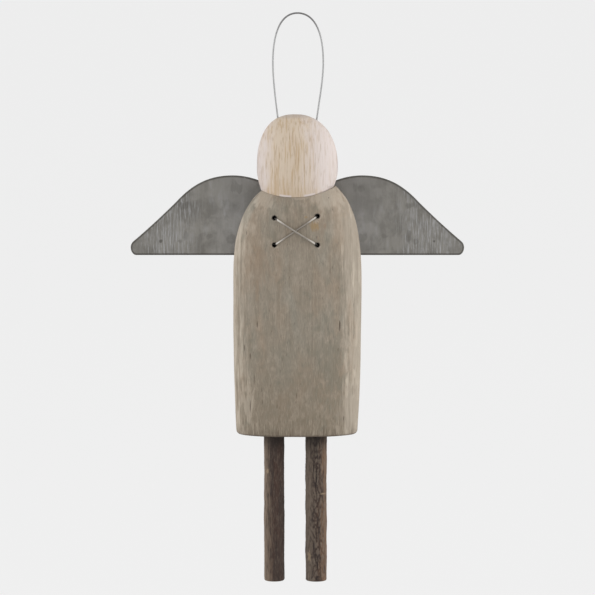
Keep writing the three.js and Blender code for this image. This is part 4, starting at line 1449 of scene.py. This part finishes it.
class ANGEL_OT_wings(bpy.types.Operator):
    """Cut the wings from sheet, file their edges and darken their rims"""

    bl_idname = "angel.wings"
    bl_label = "Wings"

    def execute(self, context):
        scene = context.scene
        sizes, wires, seat = scene.angel_wings, scene.angel_wires, scene.angel_seat
        material = aged_zinc(scene.angel_finishes, sizes)
        for name, node, side in (("left_wing_plate", "left_wing", -1), ("right_wing_plate", "right_wing", 1)):
            holes = [place for place in lacing_holes(wires, seat) if place[0] * side > 0]
            piece = self.plate(name, sizes)
            self.file_edges(piece, sizes)
            self.grid(piece, sizes)
            with editing(piece):
                bpy.ops.transform.resize(value=(side, 1, 1), center_override=(0, 0, 0))
            close_up(piece)
            self.bore(piece, sizes, holes, wires.hole_radius)
            roughen(piece, "", size=21, stretch=1, depth=0.2, seed=0.4 + side, way="Y")
            self.darken(piece, sizes, holes, wires.hole_radius)
            settle(piece, node, material, smooth_degrees=35)
        return {"FINISHED"}

    def outline(self, sizes):
        """Corners of the outline with their handles before and after, outwards and up, in millimetres."""
        reach, height, root = sizes.reach / MM, sizes.height / MM, sizes.root / MM
        heel = reach - HEEL_ROUND
        crest = height - CREST_DROP
        far = Vector((reach, TIP_ROUND))
        along, rise = math.cos(TIP_SLOPE), math.sin(TIP_SLOPE)
        leave = Vector((reach - TIP_ROUND + TIP_ROUND * rise, TIP_ROUND + TIP_ROUND * along))
        away = Vector((-along, rise))
        waist = Vector((reach - WAIST_IN, height - WAIST_DROP))
        hollow = (leave + waist) / 2 - Vector((0, HOLLOW))
        pull = QUARTER_HANDLE * TIP_ROUND
        return (
            ((root + ROOT_ROUND, 0), (root + ROOT_ROUND - 1.4, 0), (root + ROOT_ROUND + 9.5, 0)),
            ((heel, 0), (heel - 12, 0), (heel + QUARTER_HANDLE * HEEL_ROUND, 0)),
            (far, far - Vector((0, pull)), far + Vector((0, pull * TIP_ARC))),
            (leave, leave - away * pull * TIP_ARC, leave + (hollow - leave) * 2 / 3),
            (waist, waist + (hollow - waist) * 2 / 3, waist + Vector((-10, 10.9))),
            ((CREST_OUT, crest), (CREST_OUT + 13, crest), (CREST_OUT - 9.5, crest)),
            ((root, INNER_HEIGHT), (root + 7.2, INNER_HEIGHT + 10.2), (root, INNER_HEIGHT - 7.8)),
            ((root, ROOT_ROUND), (root, ROOT_ROUND + 7.5), (root, ROOT_ROUND - 1.4)),
        )

    def plate(self, name, sizes):
        """A flat plate of the sheet's thickness, standing upright behind the body."""
        piece = add_piece(bpy.ops.curve.primitive_bezier_circle_add, name)
        curve = piece.data
        curve.dimensions = "2D"
        curve.fill_mode = "BOTH"
        curve.resolution_u = CURVE_STEPS
        curve.extrude = sizes.thickness / 2
        spline = curve.splines[0]
        corners = self.outline(sizes)
        spline.bezier_points.add(len(corners) - len(spline.bezier_points))
        for point, corner in zip(spline.bezier_points, corners):
            place, before, after = ((out * MM, up * MM, 0) for out, up in corner)
            point.handle_left_type = point.handle_right_type = "FREE"
            point.co = place
            point.handle_left = before
            point.handle_right = after
        piece.rotation_euler = (math.pi / 2, 0, 0)
        piece.location = (0, sizes.front + sizes.thickness / 2, sizes.lower_edge)
        bpy.ops.object.convert(target="MESH")
        piece = bpy.context.object
        bpy.ops.object.transform_apply(location=True, rotation=True, scale=True)
        close_up(piece)
        with editing(piece):
            bpy.ops.mesh.dissolve_limited(angle_limit=FLAT_TURN)
        return piece

    def file_edges(self, piece, sizes):
        """Rounds the sharp edges, and marks off the rim on both faces."""
        with editing(piece, lambda edge: False, "EDGE"):
            bpy.ops.mesh.edges_select_sharp(sharpness=SHARP_TURN)
            bevel(sizes.edge_round, segments=3)
        with editing(piece, lambda face: abs(face.normal.y) > FACE_ON, "FACE"):
            inset(sizes.rim_width)

    def grid(self, piece, sizes):
        """Cuts the plate across every few millimetres, so that it can be dented."""
        cuts = [((sizes.root + GRID_STEP * i, 0, 0), (1, 0, 0)) for i in range(1, GRID_ACROSS + 1)]
        cuts += [((0, 0, sizes.lower_edge + GRID_STEP * i), (0, 0, 1)) for i in range(1, GRID_UP + 1)]
        with editing(piece):
            for place, normal in cuts:
                bpy.ops.mesh.select_all(action="SELECT")
                bpy.ops.mesh.bisect(plane_co=place, plane_no=normal)

    def bore(self, piece, sizes, holes, hole_radius):
        behind = sizes.front + sizes.thickness + CLEAR
        ahead = sizes.front - CLEAR
        drill(piece, [(Vector((x, behind, z)), Vector((x, ahead, z)), hole_radius, 0) for x, z in holes])

    def darken(self, piece, sizes, holes, hole_radius):
        """Notes how near each point is to the outline of the sheet, for the dark rim."""
        spots = places(piece)
        edge = np.abs(normals(piece)[:, 1]) < EDGE_ON
        for x, z in holes:
            edge &= np.hypot(spots[:, 0] - x, spots[:, 2] - z) > 2 * hole_radius
        tree = kdtree.KDTree(int(edge.sum()))
        for i, place in enumerate(spots[edge]):
            tree.insert(place, i)
        tree.balance()
        gaps = np.array([tree.find(place)[2] for place in spots])
        note(piece, "rim", np.clip(1 - gaps / sizes.rim_width, 0, 1))


class ANGEL_OT_legs(bpy.types.Operator):
    """Grow the two twig legs"""

    bl_idname = "angel.legs"
    bl_label = "Legs"

    def execute(self, context):
        scene = context.scene
        legs, hem, finishes = scene.angel_legs, scene.angel_body.hem, scene.angel_finishes
        for twig in TWIGS:
            leg = Leg(twig, scene)
            piece = self.bar(twig["name"], leg)
            self.wear_sole(piece, leg, legs)
            self.whittle(piece, leg, legs, hem)
            close_up(piece)
            round_off(piece)
            self.grow(piece, twig, leg)
            settle(piece, twig["node"], bark(finishes, twig, leg), smooth_degrees=50)
            piece.data.materials.append(sawn_end(finishes, twig, leg))
            for face in piece.data.polygons:
                sawn = face.normal.z < SAWN_FACING and face.center.z < leg.sole + SAWN_DEPTH
                face.material_index = 1 if sawn or face.center.z > hem else 0
        return {"FINISHED"}

    def bar(self, name, leg):
        """A round bar, cut across many times."""
        piece = add_piece(
            bpy.ops.mesh.primitive_cylinder_add,
            name,
            vertices=TWIG_SIDES,
            radius=leg.radius,
            depth=leg.top - leg.sole,
            location=leg.at((leg.top + leg.sole) / 2),
        )
        bpy.ops.object.transform_apply(location=True, rotation=True, scale=True)
        with editing(piece, lambda edge: abs(edge.verts[0].co.z - edge.verts[1].co.z) > TINY, "EDGE"):
            bpy.ops.mesh.subdivide(number_cuts=TWIG_CUTS)
        return piece

    def wear_sole(self, piece, leg, legs):
        """Takes the edge off the sole, and leaves it flat."""

        def on_sole(point):
            return point.co.z < leg.sole + TINY

        with editing(piece, on_sole):
            bevel(legs.chamfer, segments=3)
        with editing(piece, on_sole):
            inset(EDGE_INSET)

    def whittle(self, piece, leg, legs, hem):
        """Draws a tenon with a tapered tip out of the top."""
        with editing(piece, lambda point: point.co.z > leg.top - TINY):
            inset(EDGE_INSET)
            inset(leg.radius - legs.tenon_radius - EDGE_INSET)
            extrude((0, 0, legs.tenon_length + legs.hem_gap - TENON_TIP))
            extrude((0, 0, TENON_TIP))
            bpy.ops.transform.resize(value=(TENON_TAPER, TENON_TAPER, 1), center_override=leg.at(hem))
            inset(TIP_INSET)

    def grow(self, piece, twig, leg):
        """Gives the bar its bends, swellings and bark."""

        def on_bark(place):
            away = math.hypot(place.x - leg.middle.x, place.y - leg.middle.y)
            ends = min(place.z - leg.sole, leg.top - place.z) / BARK_FADE
            outside = (away - BARK_START * leg.radius) / (BARK_SPAN * leg.radius)
            return min(max(min(ends, outside), 0), 1)

        def on_front(place):
            turn = math.atan2(place.x - leg.middle.x - CRACKED_ASIDE, leg.middle.y - place.y)
            front = math.exp(-((turn / CRACKED_TURN) ** 2))
            return on_bark(place) * (CRACKED_LEAST + (1 - CRACKED_LEAST) * front)

        seed = twig["seed"]
        torn = {"mid": 0.36, "noise_type": "HARD_NOISE", "noise_depth": 2}
        weigh(piece, "bark", on_bark)
        weigh(piece, "cracked", on_front)
        roughen(piece, "bark", size=14, stretch=1.5, depth=0.9, seed=seed)
        smooth = places(piece)
        roughen(piece, "cracked", size=1.7, stretch=2.4, depth=0.9 * twig["cracked"], seed=seed, **torn)
        roughen(piece, "bark", size=1.1, stretch=7, depth=0.45, seed=seed + 0.2, noise_depth=3)
        roughen(piece, "bark", size=0.7, stretch=1.5, depth=0.16, seed=seed + 0.4)
        note_relief(piece, smooth, BARK_DEPTH)


class ANGEL_OT_wires(bpy.types.Operator):
    """Round off the hanger and the lacing and give them their metal"""

    bl_idname = "angel.wires"
    bl_label = "Wires"

    def execute(self, context):
        scene = context.scene
        finishes, wires = scene.angel_finishes, scene.angel_wires
        # The under wire gets more painted shade in its middle, where the over wire shades it
        over = laced_wire("over_wire", finishes, wires, hidden_length=1.4 * MM, middle_shade=0.7)
        under = laced_wire("under_wire", finishes, wires, hidden_length=0.9 * MM, middle_shade=0.85)
        for name, node, material in (
            ("hanger_loop", "hanger_wire", drawn_wire(finishes, wires)),
            ("over_lacing", "lacing_wire_over", over),
            ("under_lacing", "lacing_wire_under", under),
        ):
            piece = self.rounded(name, node, wires.radius)
            settle(piece, node, material, smooth_degrees=60)
        return {"FINISHED"}

    def rounded(self, name, node, radius):
        """A copy of a six-sided wire, made round and brought back to its full thickness."""
        piece = bpy.data.objects.new(name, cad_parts[node].data.copy())
        bpy.context.scene.collection.objects.link(piece)
        close_up(piece)
        with editing(piece):
            bpy.ops.mesh.tris_convert_to_quads()
        round_off(piece)
        apply_modifier(piece, "DISPLACE", strength=radius * ROUNDING_LOSS, mid_level=0.0)
        return piece


class ANGEL_OT_dowel(bpy.types.Operator):
    """Give the hidden neck dowel its bare wood"""

    bl_idname = "angel.dowel"
    bl_label = "Dowel"

    def execute(self, context):
        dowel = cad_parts["neck_dowel"]
        dowel.data.materials.clear()
        dowel.data.materials.append(raw_wood(context.scene.angel_finishes))
        return {"FINISHED"}


class ANGEL_PT_panel(bpy.types.Panel):
    """Lists the ornament's operators"""

    bl_idname = "ANGEL_PT_panel"
    bl_label = "Angel Ornament"
    bl_space_type = "VIEW_3D"
    bl_region_type = "UI"
    bl_category = "Angel"

    def draw(self, context):
        for operator in OPERATORS:
            self.layout.operator(operator.bl_idname)


OPERATORS = (
    ANGEL_OT_stage,
    ANGEL_OT_body,
    ANGEL_OT_head,
    ANGEL_OT_wings,
    ANGEL_OT_legs,
    ANGEL_OT_wires,
    ANGEL_OT_dowel,
)


def register():
    for group in SETTINGS.values():
        bpy.utils.register_class(group)
    for name, group in SETTINGS.items():
        setattr(bpy.types.Scene, name, bpy.props.PointerProperty(type=group))
    for operator in OPERATORS:
        bpy.utils.register_class(operator)
    bpy.utils.register_class(ANGEL_PT_panel)


def unregister():
    bpy.utils.unregister_class(ANGEL_PT_panel)
    for operator in reversed(OPERATORS):
        bpy.utils.unregister_class(operator)
    for name in SETTINGS:
        delattr(bpy.types.Scene, name)
    for group in reversed(SETTINGS.values()):
        bpy.utils.unregister_class(group)


def main():
    register()
    bpy.ops.angel.stage()
    bpy.ops.angel.body()
    bpy.ops.angel.head()
    bpy.ops.angel.wings()
    bpy.ops.angel.legs()
    bpy.ops.angel.wires()
    bpy.ops.angel.dowel()


if __name__ == "__main__":
    main()
